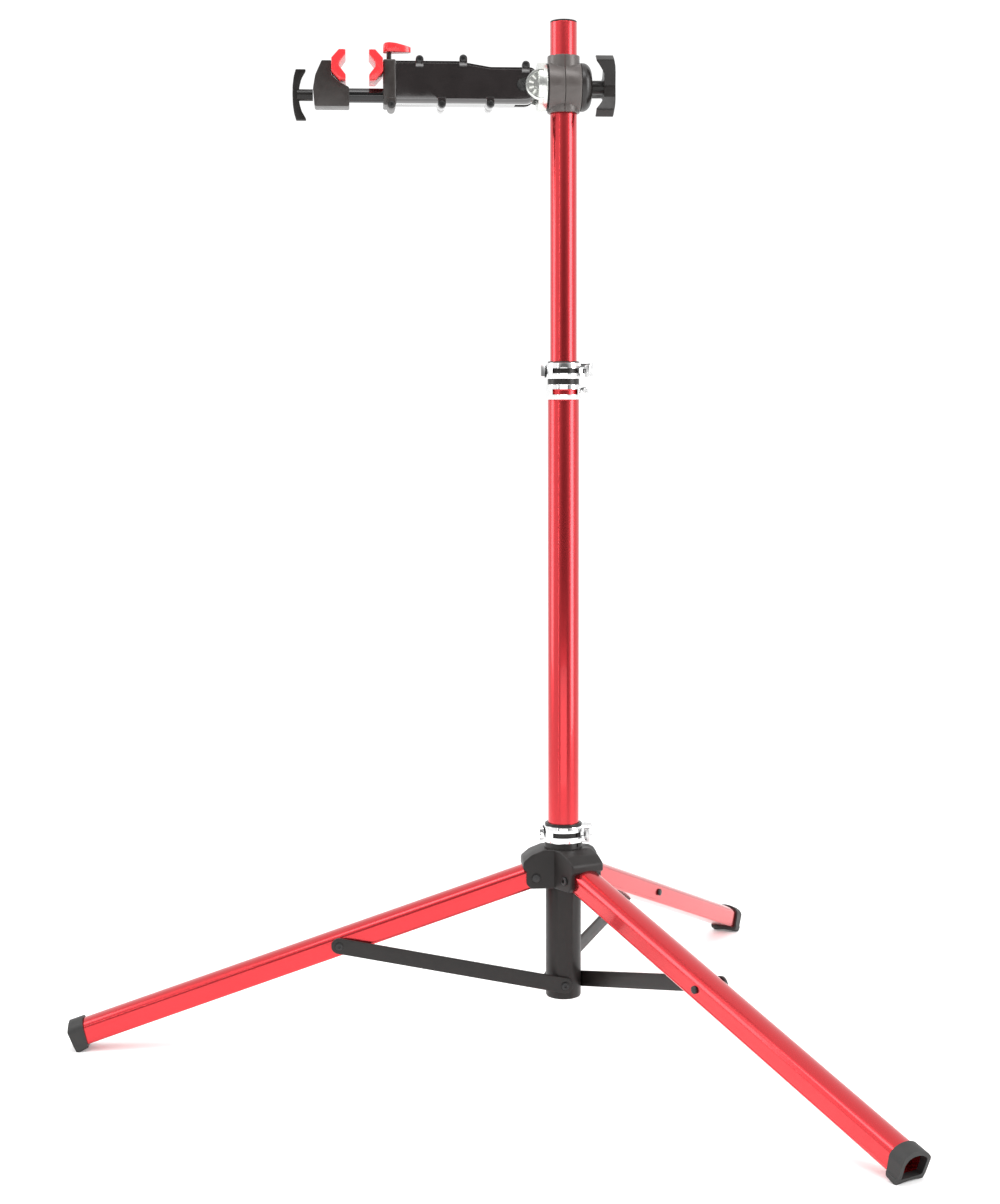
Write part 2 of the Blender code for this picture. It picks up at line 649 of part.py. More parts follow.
def knob():
    """Three-armed knob, hollow behind, on its stem."""
    rings = [knob_ring(KNOB_LOW + 11.5, 13.0, 12.0), knob_ring(KNOB_LOW + 11.0, 24.5, 13.5),
             knob_ring(KNOB_LOW + 0.3, 39.6, 16.0),
             knob_ring(KNOB_LOW + 1.0, KNOB_REACH, KNOB_WAIST),
             knob_ring(KNOB_HIGH - 5.2, KNOB_REACH, KNOB_WAIST),
             knob_ring(KNOB_HIGH - 2.6, 39.6, 16.0), knob_ring(KNOB_HIGH - 1.2, 34.0, 14.6),
             knob_ring(KNOB_HIGH, 14.0, 9.0)]
    shape = skin(rings)
    fuse(shape, rod(9.0, 36.6, KNOB_LOW + 14, "X", (0, HEAD_Z), 24))
    fuse(shape, rod(6.0, 30.5, KNOB_LOW + 14, "X", (0, HEAD_Z), 16))
    finish("knob", shape, "black_plastic", "knob")


TONGUE_HALF = 7.5
TONGUE_HIGH = 9.0


def knuckle():
    """Turning flange with two cheek discs and a guide pocket for the fold tongue."""
    face = BARREL_LEFT - 1.9 - GAP
    flange = turned([(FLANGE_R - 1, face), (FLANGE_R, face - 1), (FLANGE_R, -33.6),
                     (FLANGE_R - 1.2, -34.8)],
                    "X", (0, HEAD_Z), 24)
    for side in (-1, 1):
        low, high = sorted((side * (BODY_HALF + GAP), side * 26.0))
        disc = rod(19.7, low, high, "Y", (-31.8, HEAD_Z), 24)
        cut(disc, box((-28.0, -60, HEAD_Z - 40), (20, 60, HEAD_Z + 40)))
        fuse(flange, disc)
    half, high = TONGUE_HALF + GAP, TONGUE_HIGH + GAP
    cut(flange, box((-60, -half, HEAD_Z - high), (face - 1.5, half, HEAD_Z + high)))
    finish("knuckle", flange, "zinc", "spin")
    side = [(FOLD_X, -TONGUE_HIGH, 0), (-24.7, -TONGUE_HIGH, 0), (-24.7, TONGUE_HIGH, 0)]
    for step in range(9):
        a = radians(90 + 22.5 * step)
        side.append((FOLD_X + TONGUE_HIGH * cos(a), TONGUE_HIGH * sin(a), 0))
    side = side[:-1]
    tongue = plate([(x, HEAD_Z + z) for x, z, _ in side], "Y", -TONGUE_HALF, TONGUE_HALF)
    cut(tongue, rod(4.3, -30, 30, "Y", (FOLD_X, HEAD_Z), 16))
    finish("fold_tongue", tongue, "zinc", "pivot")
    screw = rod(4.0, -BODY_HALF + 0.4, BODY_HALF - 0.4, "Y", (FOLD_X, HEAD_Z), 16)
    for low, high in ((-BODY_HALF + 0.4, -BODY_HALF + 4), (BODY_HALF - 4, BODY_HALF - 0.4)):
        fuse(screw, rod(8.2, low, high, "Y", (FOLD_X, HEAD_Z), 20))
    for turn in (45, 135):
        groove = box((-5.5, -BODY_HALF - 2, -0.9), (5.5, -BODY_HALF + 1.6, 0.9))
        place = Matrix.Translation((FOLD_X, 0, HEAD_Z)) @ Matrix.Rotation(radians(turn), 4, "Y")
        cut(screw, moved(groove, place))
    finish("fold_screw", screw, "zinc", "pivot")


LUGS = ((-187.7, 35.6, 1), (-131.6, 36.9, 1), (-51.0, 29.7, 1), (-159.4, -31.4, -1), (-96.8, -30.6, -1))
LUG_HALF = 5.2
LUG_DEPTH = 25.0


def lug_centre(lug):
    x, tip, way = lug
    return (x, HEAD_Z + tip - way * LUG_HALF)


def lug_outline(centre, way):
    """Side view of a screw lug: round at its tip, with a straight root sunk in the body."""
    x, z = centre
    outline = [(x + LUG_HALF, z - way * 9), (x + LUG_HALF - 0.02, z)]
    for step in range(1, 6):
        a = pi * step / 6
        outline.append((x + LUG_HALF * cos(a), z + way * LUG_HALF * sin(a)))
    outline += [(x - LUG_HALF + 0.02, z), (x - LUG_HALF, z - way * 9)]
    return outline


def clamp_half(side):
    """One half of the clamp body, split on the arm's middle plane."""
    inner = 0.15
    rim = rounded(at_head([
        (BODY_REAR, -24.0, 14.5), (BODY_FRONT - 12, -24.0, 0), (BODY_FRONT - 12, 30.3, 0), (-138.2, 30.3, 30),
        (-96.2, 23.2, 40), (BODY_REAR, 23.2, 8)]), 3)
    shell = chamfer_band(rim, side)
    cut(shell, box((BODY_FRONT - 40, -60, HEAD_Z - 60), (BODY_FRONT, 60, HEAD_Z + 60)))
    for lug in LUGS:
        ends = sorted((side * 0.4, side * LUG_DEPTH))
        fuse(shell, plate(lug_outline(lug_centre(lug), lug[2]), "Y", *ends))
    for lug in LUGS:
        cut(shell, rod(2.8, -40, 40, "Y", lug_centre(lug), 12))
    half, high = TONGUE_HALF + 0.5, TONGUE_HIGH + 0.6
    cut(shell, box((FOLD_X - high, -half, HEAD_Z - 60), (0, half, HEAD_Z + high)))
    cut(shell, rod(4.3, -40, 40, "Y", (FOLD_X, HEAD_Z), 16))
    seat = sorted((side * (BODY_HALF - 4.3), side * 40))
    cut(shell, rod(8.5, seat[0], seat[1], "Y", (FOLD_X, HEAD_Z), 20))
    cut(shell, rod(SHAFT_R + GAP, -300, SHAFT_END + 36, "X", (0, HEAD_Z + SHAFT_DZ), 24))
    return shell


def chamfer_band(outline, side):
    """The body's outline widened near the middle plane and drawn in by a chamfer at its outer face."""
    count = len(outline)
    drawn = []
    for i in range(count):
        back, here, ahead = (Vector(outline[(i + k) % count]) for k in (-1, 0, 1))
        one = (here - back).normalized()
        two = (ahead - here).normalized()
        along = (one + two).normalized()
        inward = Vector((along.y, -along.x))
        drawn.append((here, inward))
    mid = sum((Vector(p) for p in outline), Vector((0, 0))) / count
    test = drawn[count // 2]
    flip = 1 if (mid - test[0]).dot(test[1]) > 0 else -1
    rings = []
    for depth, inset in ((0.15, 0.0), (BODY_HALF - 5.0, 0.0), (BODY_HALF - 1.6, 1.6), (BODY_HALF, 5.0)):
        rings.append([(p.x + flip * q.x * inset, side * depth, p.y + flip * q.y * inset) for p, q in drawn])
    return skin(rings)


SHAFT_END = -158.0


def clamp_body():
    """The clamp's two body halves with their screws, the nose collar and the rear pad."""
    for name, side in (("clamp_front_half", -1), ("clamp_back_half", 1)):
        finish(name, clamp_half(side), "gloss_black", "clamp", 40)
    for number, lug in enumerate(LUGS, 1):
        centre = lug_centre(lug)
        screw = rod(2.5, -LUG_DEPTH - 0.5, LUG_DEPTH + 0.5, "Y", centre, 12)
        fuse(screw, cap_head(4.2, -LUG_DEPTH - GAP, -LUG_DEPTH - 2.2, "Y", centre))
        fuse(screw, turned([(4.2, LUG_DEPTH + GAP), (4.2, LUG_DEPTH + 2.4)], "Y", centre, 6))
        finish("lug_screw_%d" % number, screw, "black_steel", "clamp")
    low, high = BODY_FRONT - GAP, NOSE_FRONT
    nose = bevelled(box((high, -23.5, HEAD_Z - 27.2), (low, 23.5, HEAD_Z + 30.6)), 2.2, 1, 40)
    lug = (-224.0, HEAD_Z - 26.8)
    fuse(nose, plate(lug_outline(lug, -1), "Y", -25, 25))
    cut(nose, rod(SHAFT_R + GAP, -300, -200, "X", (0, HEAD_Z + SHAFT_DZ), 24))
    cut(nose, rod(2.8, -40, 40, "Y", lug, 12))
    cut(nose, rod(3.5, HEAD_Z + 24, HEAD_Z + 60, "Z", (-226.5, 0), 14))
    finish("nose_collar", nose, "casting", "clamp")
    screw = rod(2.5, -25.5, 25.5, "Y", lug, 12)
    fuse(screw, cap_head(4.0, -25.3, -27.2, "Y", lug))
    fuse(screw, turned([(4.0, 25.3), (4.0, 27.4)], "Y", lug, 6))
    finish("nose_screw", screw, "black_steel", "clamp")
    finish("rear_pad", pad(REAR_PAD_BACK, REAR_PAD_LIP), "red_plastic", "clamp")
    stem = rod(3.2, HEAD_Z + 24.3, HEAD_Z + 46, "Z", (-226.5, 0), 14)
    fuse(stem, rod(3.2, -3.2, 3.2, "Y", (-226.5, HEAD_Z + 46), 14))
    fuse(stem, rod(1.6, -9.5, 9.5, "Y", (-226.5, HEAD_Z + 46), 12))
    finish("release_stem", stem, "steel", "clamp")


def pad(back, lip):
    """Half-octagon jaw pad with a half-hexagon notch, running across the arm."""
    way = 1 if lip > back else -1
    z = HEAD_Z + PAD_DZ
    corners = [(back, -8.0, 0), (back + way * 9.8, -18.7, 0), (lip, -18.7, 0), (lip, -13.0, 3),
               (lip - way * 8.0, -2.6, 0), (lip - way * 8.0, 2.6, 0), (lip, 13.0, 3), (lip, 18.7, 0),
               (back + way * 9.8, 18.7, 0), (back, 8.0, 0)]
    outline = rounded([(x, z + dz, r) for x, dz, r in corners], 3)
    shape = plate(outline, "Y", -PAD_HALF, PAD_HALF)
    return bevelled(shape, 0.9, 1, 30)


def jaw():
    """Sliding front jaw with its pad and shaft, and the T-handle that drives it."""
    side = rounded(at_head([
        (-278.0, -28.6, 2), (-278.0, -4.5, 3), (-283.3, -1.6, 1), (-291.8, 2.4, 0), (JAW_SEAT, 11.2, 0),
        (JAW_SEAT, 29.2, 1), (-313.0, 29.2, 2), (-321.4, 11.0, 20), (-324.5, -6.0, 20),
        (-322.7, -28.6, 2.5)]), 4)
    shape = bevelled(plate(side, "Y", -18, 18), 1.6, 1, 50)
    cut(shape, rod(SHAFT_R + GAP, -284.8, -200, "X", (0, HEAD_Z + SHAFT_DZ), 24))
    finish("front_jaw", shape, "casting", "jaw")
    finish("front_pad", pad(FRONT_PAD_BACK, FRONT_PAD_LIP), "red_plastic", "jaw")
    shaft = rod(SHAFT_R, -284.5, SHAFT_END, "X", (0, HEAD_Z + SHAFT_DZ), 24, edge=0.8)
    finish("slide_shaft", shaft, "gloss_black", "jaw")
    z = HEAD_Z + SHAFT_DZ
    handle = rod(7.5, -345.0, -324.9, "X", (0, z), 24, edge=0.8)
    half = [(-351.1, 0.0), (-350.8, 12.0), (-349.3, 23.0), (-346.6, 32.4), (-334.2, 32.4), (-333.6, 31.6),
            (-334.4, 29.2), (-339.3, 21.0), (-341.5, 13.0), (-342.8, 6.0)]
    wings = half + [(x, -dz) for x, dz in reversed(half[1:])]
    wings = bevelled(plate([(x, z + dz) for x, dz in wings], "Y", -4.8, 4.8), 1.2, 1, 50)
    fuse(handle, wings)
    finish("t_handle", handle, "black_plastic", "t_handle")


def release():
    """Release lever hinged on the stem's cross pin."""
    z = HEAD_Z + 42.4
    plan = [(-198.5, 3.0, 6.5), (-201.5, 6.0, 8.0), (-208.5, 8.2, 9.6), (-217.5, 10.0, 10.8),
            (-225.5, 11.0, 11.3), (-230.6, 10.2, 11.0), (-233.2, 8.4, 9.8), (-234.0, 6.5, 8.2)]
    rings = []
    for x, half, high in plan:
        ring = []
        for i in range(12):
            a = 2 * pi * i / 12
            c, s = cos(a), sin(a)
            up = high * max(0.0, s) ** 0.8 if s > 0 else 0.0
            ring.append((x, half * c, z + up + (0.0 if s >= 0 else 1.0 * (1 + s) - 1.0)))
        rings.append(ring)
    shape = skin(rings)
    cut(shape, box((-250, -3.6, z - 5), (-222.4, 3.6, HEAD_Z + 50.2)))
    cut(shape, rod(1.9, -20, 20, "Y", (-226.5, HEAD_Z + 46), 12))
    finish("release_lever", shape, "red_plastic", "release")


def build():
    clear_scene()
    body("base")
    body("mid_lever", (*QR_HINGE, (COLLAR_SPLIT + COLLAR_HIGH) / 2))
    body("hub", (0, 0, HUB_BOTTOM))
    body("base_lever", (*QR_HINGE, (RING_LOW + RING_HIGH) / 2))
    body("swivel", (0, 0, OUTER_TOP))
    body("mast", (0, 0, HEAD_Z))
    body("knob", (KNOB_LOW, 0, HEAD_Z))
    body("spin", (BARREL_LEFT, 0, HEAD_Z))
    body("pivot", (FOLD_X, 0, HEAD_Z))
    body("clamp", (FOLD_X, 0, HEAD_Z))
    body("jaw", (JAW_SEAT, 0, HEAD_Z + SHAFT_DZ))
    body("t_handle", (-325.0, 0, HEAD_Z + SHAFT_DZ))
    body("release", (-226.5, 0, HEAD_Z + 46))
    tubes()
    sleeve()
    mid_clamp()
    hub()
    legs()
    barrel()
    knob()
    knuckle()
    clamp_body()
    jaw()
    release()


build()
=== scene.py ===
"""Folding bike repair stand: the finished surfaces of its tubes, castings, clamps, pads and screws.

Lengths are in millimetres and the helpers turn them into metres. Z is up, the column stands on the Z axis
and the clamp arm points along -X.
"""

from math import cos, hypot, pi, radians, sin

import bpy
from mathutils import Matrix, Vector


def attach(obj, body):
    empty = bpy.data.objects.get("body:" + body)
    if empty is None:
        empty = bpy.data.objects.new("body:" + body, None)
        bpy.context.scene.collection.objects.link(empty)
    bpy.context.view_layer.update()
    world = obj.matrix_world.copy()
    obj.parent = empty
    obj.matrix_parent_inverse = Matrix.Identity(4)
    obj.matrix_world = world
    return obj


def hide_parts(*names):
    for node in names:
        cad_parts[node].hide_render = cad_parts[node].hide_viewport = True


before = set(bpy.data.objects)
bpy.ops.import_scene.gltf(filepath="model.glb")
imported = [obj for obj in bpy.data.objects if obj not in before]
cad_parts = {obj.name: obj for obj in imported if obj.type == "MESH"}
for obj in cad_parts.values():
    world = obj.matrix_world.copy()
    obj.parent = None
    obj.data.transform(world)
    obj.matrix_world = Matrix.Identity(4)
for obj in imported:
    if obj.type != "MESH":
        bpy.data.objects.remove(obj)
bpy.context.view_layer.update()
MM = 0.001
GAP = 0.3
LEGS = (("left", 180.0), ("front", 300.0), ("back", 60.0))
HEAD = 1263.2                   # height of the head's axis


# Modelling helpers

def deselect():
    if bpy.context.object and bpy.context.object.mode == "EDIT":
        bpy.ops.object.mode_set(mode="OBJECT")
    bpy.ops.object.select_all(action="DESELECT")


def pick(obj):
    deselect()
    obj.select_set(True)
    bpy.context.view_layer.objects.active = obj


def closed_up():
    """Merge doubles, turn the faces outwards and leave edit mode."""
    bpy.ops.mesh.select_all(action="SELECT")
    bpy.ops.mesh.remove_doubles(threshold=0.000002)
    bpy.ops.mesh.normals_make_consistent(inside=False)
    bpy.ops.object.mode_set(mode="OBJECT")
    return bpy.context.object


def stood(obj, axis, at):
    """Turn a piece drawn up the Z axis on to its own axis, and move it there."""
    pick(obj)
    if axis == "X":
        obj.rotation_euler = (pi / 2, 0.0, pi / 2)
        obj.location = (0.0, at[0] * MM, at[1] * MM)
    elif axis == "Y":
        obj.rotation_euler = (-pi / 2, 0.0, 0.0)
        obj.location = (at[0] * MM, 0.0, at[1] * MM)
    else:
        obj.location = (at[0] * MM, at[1] * MM, 0.0)
    bpy.ops.object.transform_apply(location=True, rotation=True, scale=True)
    return obj


def turned(profile, axis="Z", at=(0.0, 0.0), sides=96, ring=False):
    """A turned piece: a circle extruded and scaled through (radius, height) stations."""
    deselect()
    radius, height = profile[0]
    bpy.ops.mesh.primitive_circle_add(vertices=sides, radius=radius * MM, location=(0, 0, height * MM),
                                      fill_type="NOTHING" if ring else "NGON")
    obj = bpy.context.object
    bpy.ops.object.transform_apply(location=True, rotation=True, scale=True)
    bpy.ops.object.mode_set(mode="EDIT")
    bpy.ops.mesh.select_all(action="SELECT")
    stations = list(profile[1:]) + ([profile[0]] if ring else [])
    for r, h in stations:
        bpy.ops.mesh.extrude_region_move(TRANSFORM_OT_translate={"value": (0, 0, (h - height) * MM)})
        if abs(r - radius) > 1e-7:
            bpy.ops.transform.resize(value=(r / radius, r / radius, 1.0), center_override=(0, 0, h * MM))
        radius, height = r, h
    closed_up()
    return stood(obj, axis, at)


def spot(axis, u, v, t):
    """Place at (u, v) across an axis and t along it."""
    if axis == "X":
        return Vector((t, u, v)) * MM
    if axis == "Y":
        return Vector((u, t, v)) * MM
    return Vector((u, v, t)) * MM


def plate(outline, axis, low, high):
    """An outline drawn point by point across an axis, filled, and extruded along it."""
    deselect()
    points = [spot(axis, u, v, low) for u, v in outline]
    bpy.ops.mesh.primitive_plane_add(size=MM, location=points[0])
    bpy.ops.object.transform_apply(location=True, rotation=True, scale=True)
    bpy.ops.object.mode_set(mode="EDIT")
    bpy.ops.mesh.select_all(action="SELECT")
    bpy.ops.mesh.merge(type="CENTER")
    for here, there in zip(points, points[1:]):
        bpy.ops.mesh.extrude_region_move(TRANSFORM_OT_translate={"value": there - here})
    bpy.ops.mesh.select_all(action="SELECT")
    bpy.ops.mesh.edge_face_add()
    bpy.ops.mesh.extrude_region_move(TRANSFORM_OT_translate={"value": spot(axis, 0, 0, high - low)})
    return closed_up()


def block(low, high):
    (x0, y0, z0), (x1, y1, z1) = low, high
    return plate([(x0, y0), (x1, y0), (x1, y1), (x0, y1)], "Z", z0, z1)


def rounded(corners, steps=6):
    """An outline from (u, v, radius) corners, each with its own rounding."""
    outline = []
    count = len(corners)
    for i, (u, v, radius) in enumerate(corners):
        here = Vector((u, v))
        if radius <= 0:
            outline.append((u, v))
            continue
        back = (Vector(corners[i - 1][:2]) - here).normalized()
        ahead = (Vector(corners[(i + 1) % count][:2]) - here).normalized()
        half = back.angle(ahead) / 2
        reach = radius * cos(half) / sin(half)
        centre = here + (back + ahead).normalized() * (radius / sin(half))
        first = here + back * reach - centre
        last = here + ahead * reach - centre
        turn = first.angle_signed(last)
        for step in range(steps + 1):
            arm = first.copy()
            arm.rotate(Matrix.Rotation(-turn * step / steps, 2))
            outline.append(tuple(centre + arm))
    return outline


def applied(obj, kind, **values):
    """Add a modifier with these values and apply it."""
    pick(obj)
    step = obj.modifiers.new("step", kind)
    for key, value in values.items():
        setattr(step, key, value)
    bpy.ops.object.modifier_apply(modifier=step.name)
    return obj


def cleared(obj):
    """Merge the near-double points that a cut leaves, and join the faces that lie in one plane."""
    pick(obj)
    bpy.ops.object.mode_set(mode="EDIT")
    bpy.ops.mesh.select_all(action="SELECT")
    bpy.ops.mesh.remove_doubles(threshold=0.00001)
    bpy.ops.mesh.dissolve_limited(angle_limit=radians(0.3))
    bpy.ops.object.mode_set(mode="OBJECT")
    return obj


def carve(obj, *tools, way="DIFFERENCE"):
    """Cut the tools out of a piece, or join them to it, and remove them."""
    for tool in tools:
        applied(obj, "BOOLEAN", operation=way, solver="EXACT", object=tool)
        bpy.data.objects.remove(tool, do_unlink=True)
        cleared(obj)
    return obj


def join(obj, *tools):
    return carve(obj, *tools, way="UNION")


def drill(obj, radius, low, high, axis="Z", at=(0.0, 0.0), sides=96):
    """Cut a plain round hole along an axis."""
    return carve(obj, turned([(radius, low), (radius, high)], axis, at, sides))


def common(obj, *tools):
    return carve(obj, *tools, way="INTERSECT")


def eased(obj, width=0.6, segments=3, angle=35.0):
    """Round a piece's sharp edges."""
    return applied(obj, "BEVEL", width=width * MM, segments=segments, limit_method="ANGLE",
                   angle_limit=radians(angle), use_clamp_overlap=True)


def about(obj, turn, axis="Z"):
    """Turn a piece about one of the three axes, and apply the turn."""
    pick(obj)
    obj.matrix_world = Matrix.Rotation(radians(turn), 4, axis)
    bpy.ops.object.transform_apply(location=True, rotation=True, scale=True)
    return obj


def twin(obj):
    """A copy with its own mesh."""
    pick(obj)
    bpy.ops.object.duplicate(linked=False)
    return bpy.context.object


def dress(obj, name, body, look, angle=32.0):
    """Name a finished piece, shade it, give it its material, and put it on its body in place of its solid."""
    pick(obj)
    bpy.ops.object.shade_smooth_by_angle(angle=radians(angle))
    obj.name = name
    obj.data.name = name
    obj.data.materials.clear()
    material, slot = LOOKS[look]
    obj.data.materials.append(material)
    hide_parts(name.replace("fine_", "", 1))
    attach(obj, body)
    return obj


# Materials

def group(name, inputs, outputs):
    """An empty node group with float, colour or vector sockets."""
    tree = bpy.data.node_groups.new(name, "ShaderNodeTree")
    for label, kind, value in inputs:
        socket = tree.interface.new_socket(label, in_out="INPUT", socket_type="NodeSocket" + kind)
        if value is not None:
            socket.default_value = value
    for label, kind in outputs:
        tree.interface.new_socket(label, in_out="OUTPUT", socket_type="NodeSocket" + kind)
    return tree, tree.nodes.new("NodeGroupInput"), tree.nodes.new("NodeGroupOutput")


def noise(tree, vector, scale, detail, rough=0.55):
    """Noise at a fixed or linked scale."""
    node = tree.nodes.new("ShaderNodeTexNoise")
    node.inputs["Detail"].default_value = detail
    node.inputs["Roughness"].default_value = rough
    tree.links.new(vector, node.inputs["Vector"])
    if isinstance(scale, (int, float)):
        node.inputs["Scale"].default_value = scale
    else:
        tree.links.new(scale, node.inputs["Scale"])
    return node.outputs["Fac"]


def ranged(tree, value, low, high, out_low, out_high):
    """A value mapped from one range to another."""
    node = tree.nodes.new("ShaderNodeMapRange")
    for label, number in (("From Min", low), ("From Max", high), ("To Min", out_low), ("To Max", out_high)):
        if isinstance(number, (int, float)):
            node.inputs[label].default_value = number
        else:
            tree.links.new(number, node.inputs[label])
    tree.links.new(value, node.inputs["Value"])
    return node.outputs["Result"]


def blended(tree, share, one, two):
    """A colour between two, by a share from 0 to 1."""
    node = tree.nodes.new("ShaderNodeMix")
    node.data_type = "RGBA"
    tree.links.new(share, node.inputs[0])
    for value, socket in ((one, node.inputs[6]), (two, node.inputs[7])):
        if isinstance(value, tuple):
            socket.default_value = value
        else:
            tree.links.new(value, socket)
    return node.outputs[2]


def surface_group():
    """Mottled colour, uneven gloss and a fine grain, for every finish."""
    tree, start, end = group("surface", [
        ("Position", "Vector", None), ("Colour", "Color", (0.5, 0.5, 0.5, 1)),
        ("Worn Colour", "Color", (0.6, 0.6, 0.6, 1)), ("Mottle", "Float", 0.2),
        ("Roughness Low", "Float", 0.2), ("Roughness High", "Float", 0.4),
        ("Patch Scale", "Float", 30.0), ("Grain Scale", "Float", 900.0)],
        [("Colour", "Color"), ("Roughness", "Float"), ("Height", "Float")])
    place = start.outputs["Position"]
    patch = noise(tree, place, start.outputs["Patch Scale"], 5.0, 0.6)
    grain = noise(tree, place, start.outputs["Grain Scale"], 2.0, 0.5)
    spread = ranged(tree, patch, 0.35, 0.7, 0.0, 1.0)
    share = tree.nodes.new("ShaderNodeMath")
    share.operation = "MULTIPLY"
    tree.links.new(spread, share.inputs[0])
    tree.links.new(start.outputs["Mottle"], share.inputs[1])
    tint = blended(tree, share.outputs[0], start.outputs["Colour"], start.outputs["Worn Colour"])
    tree.links.new(tint, end.inputs["Colour"])
    gloss = ranged(tree, patch, 0.3, 0.75, start.outputs["Roughness Low"], start.outputs["Roughness High"])
    tree.links.new(gloss, end.inputs["Roughness"])
    tree.links.new(grain, end.inputs["Height"])
    return tree


def scratch_group():
    """Hair-thin marks and drawn lines that run along one axis."""
    tree, start, end = group("drawn_lines", [
        ("Position", "Vector", None), ("Along", "Vector", (1, 1, 1)), ("Line Scale", "Float", 800.0)],
        [("Lines", "Float")])
    squash = tree.nodes.new("ShaderNodeVectorMath")
    squash.operation = "MULTIPLY"
    tree.links.new(start.outputs["Position"], squash.inputs[0])
    tree.links.new(start.outputs["Along"], squash.inputs[1])
    lines = noise(tree, squash.outputs[0], start.outputs["Line Scale"], 3.0, 0.6)
    tree.links.new(lines, end.inputs["Lines"])
    return tree


SURFACE = surface_group()
LINES = scratch_group()


def finish_of(name, colour, worn, mottle=0.2, rough=(0.2, 0.35), metallic=0.0, patch=30.0, grain=900.0,
              bump=0.05, depth=0.05, coat=0.0, coat_rough=0.1, specular=0.5, lines=None, line_share=0.0):
    """A Principled material fed by the shared surface group."""
    material = bpy.data.materials.new(name)
    material.use_nodes = True
    tree = material.node_tree
    shader = tree.nodes["Principled BSDF"]
    place = tree.nodes.new("ShaderNodeTexCoord").outputs["Object"]
    node = tree.nodes.new("ShaderNodeGroup")
    node.node_tree = SURFACE
    tree.links.new(place, node.inputs["Position"])
    for label, value in (("Colour", (*colour, 1)), ("Worn Colour", (*worn, 1)), ("Mottle", mottle),
                         ("Roughness Low", rough[0]), ("Roughness High", rough[1]), ("Patch Scale", patch),
                         ("Grain Scale", grain)):
        node.inputs[label].default_value = value
    tree.links.new(node.outputs["Colour"], shader.inputs["Base Color"])
    gloss = node.outputs["Roughness"]
    height = node.outputs["Height"]
    if lines:
        drawn = tree.nodes.new("ShaderNodeGroup")
        drawn.node_tree = LINES
        tree.links.new(place, drawn.inputs["Position"])
        drawn.inputs["Along"].default_value = lines
        add = tree.nodes.new("ShaderNodeMath")
        add.operation = "MULTIPLY_ADD"
        tree.links.new(drawn.outputs["Lines"], add.inputs[0])
        add.inputs[1].default_value = line_share
        tree.links.new(gloss, add.inputs[2])
        gloss = add.outputs[0]
        height = drawn.outputs["Lines"]
    tree.links.new(gloss, shader.inputs["Roughness"])
    relief = tree.nodes.new("ShaderNodeBump")
    relief.inputs["Strength"].default_value = bump
    relief.inputs["Distance"].default_value = depth * MM
    tree.links.new(height, relief.inputs["Height"])
    tree.links.new(relief.outputs["Normal"], shader.inputs["Normal"])
    shader.inputs["Metallic"].default_value = metallic
    shader.inputs["Coat Weight"].default_value = coat
    shader.inputs["Coat Roughness"].default_value = coat_rough
    shader.inputs["Specular IOR Level"].default_value = specular
    return material


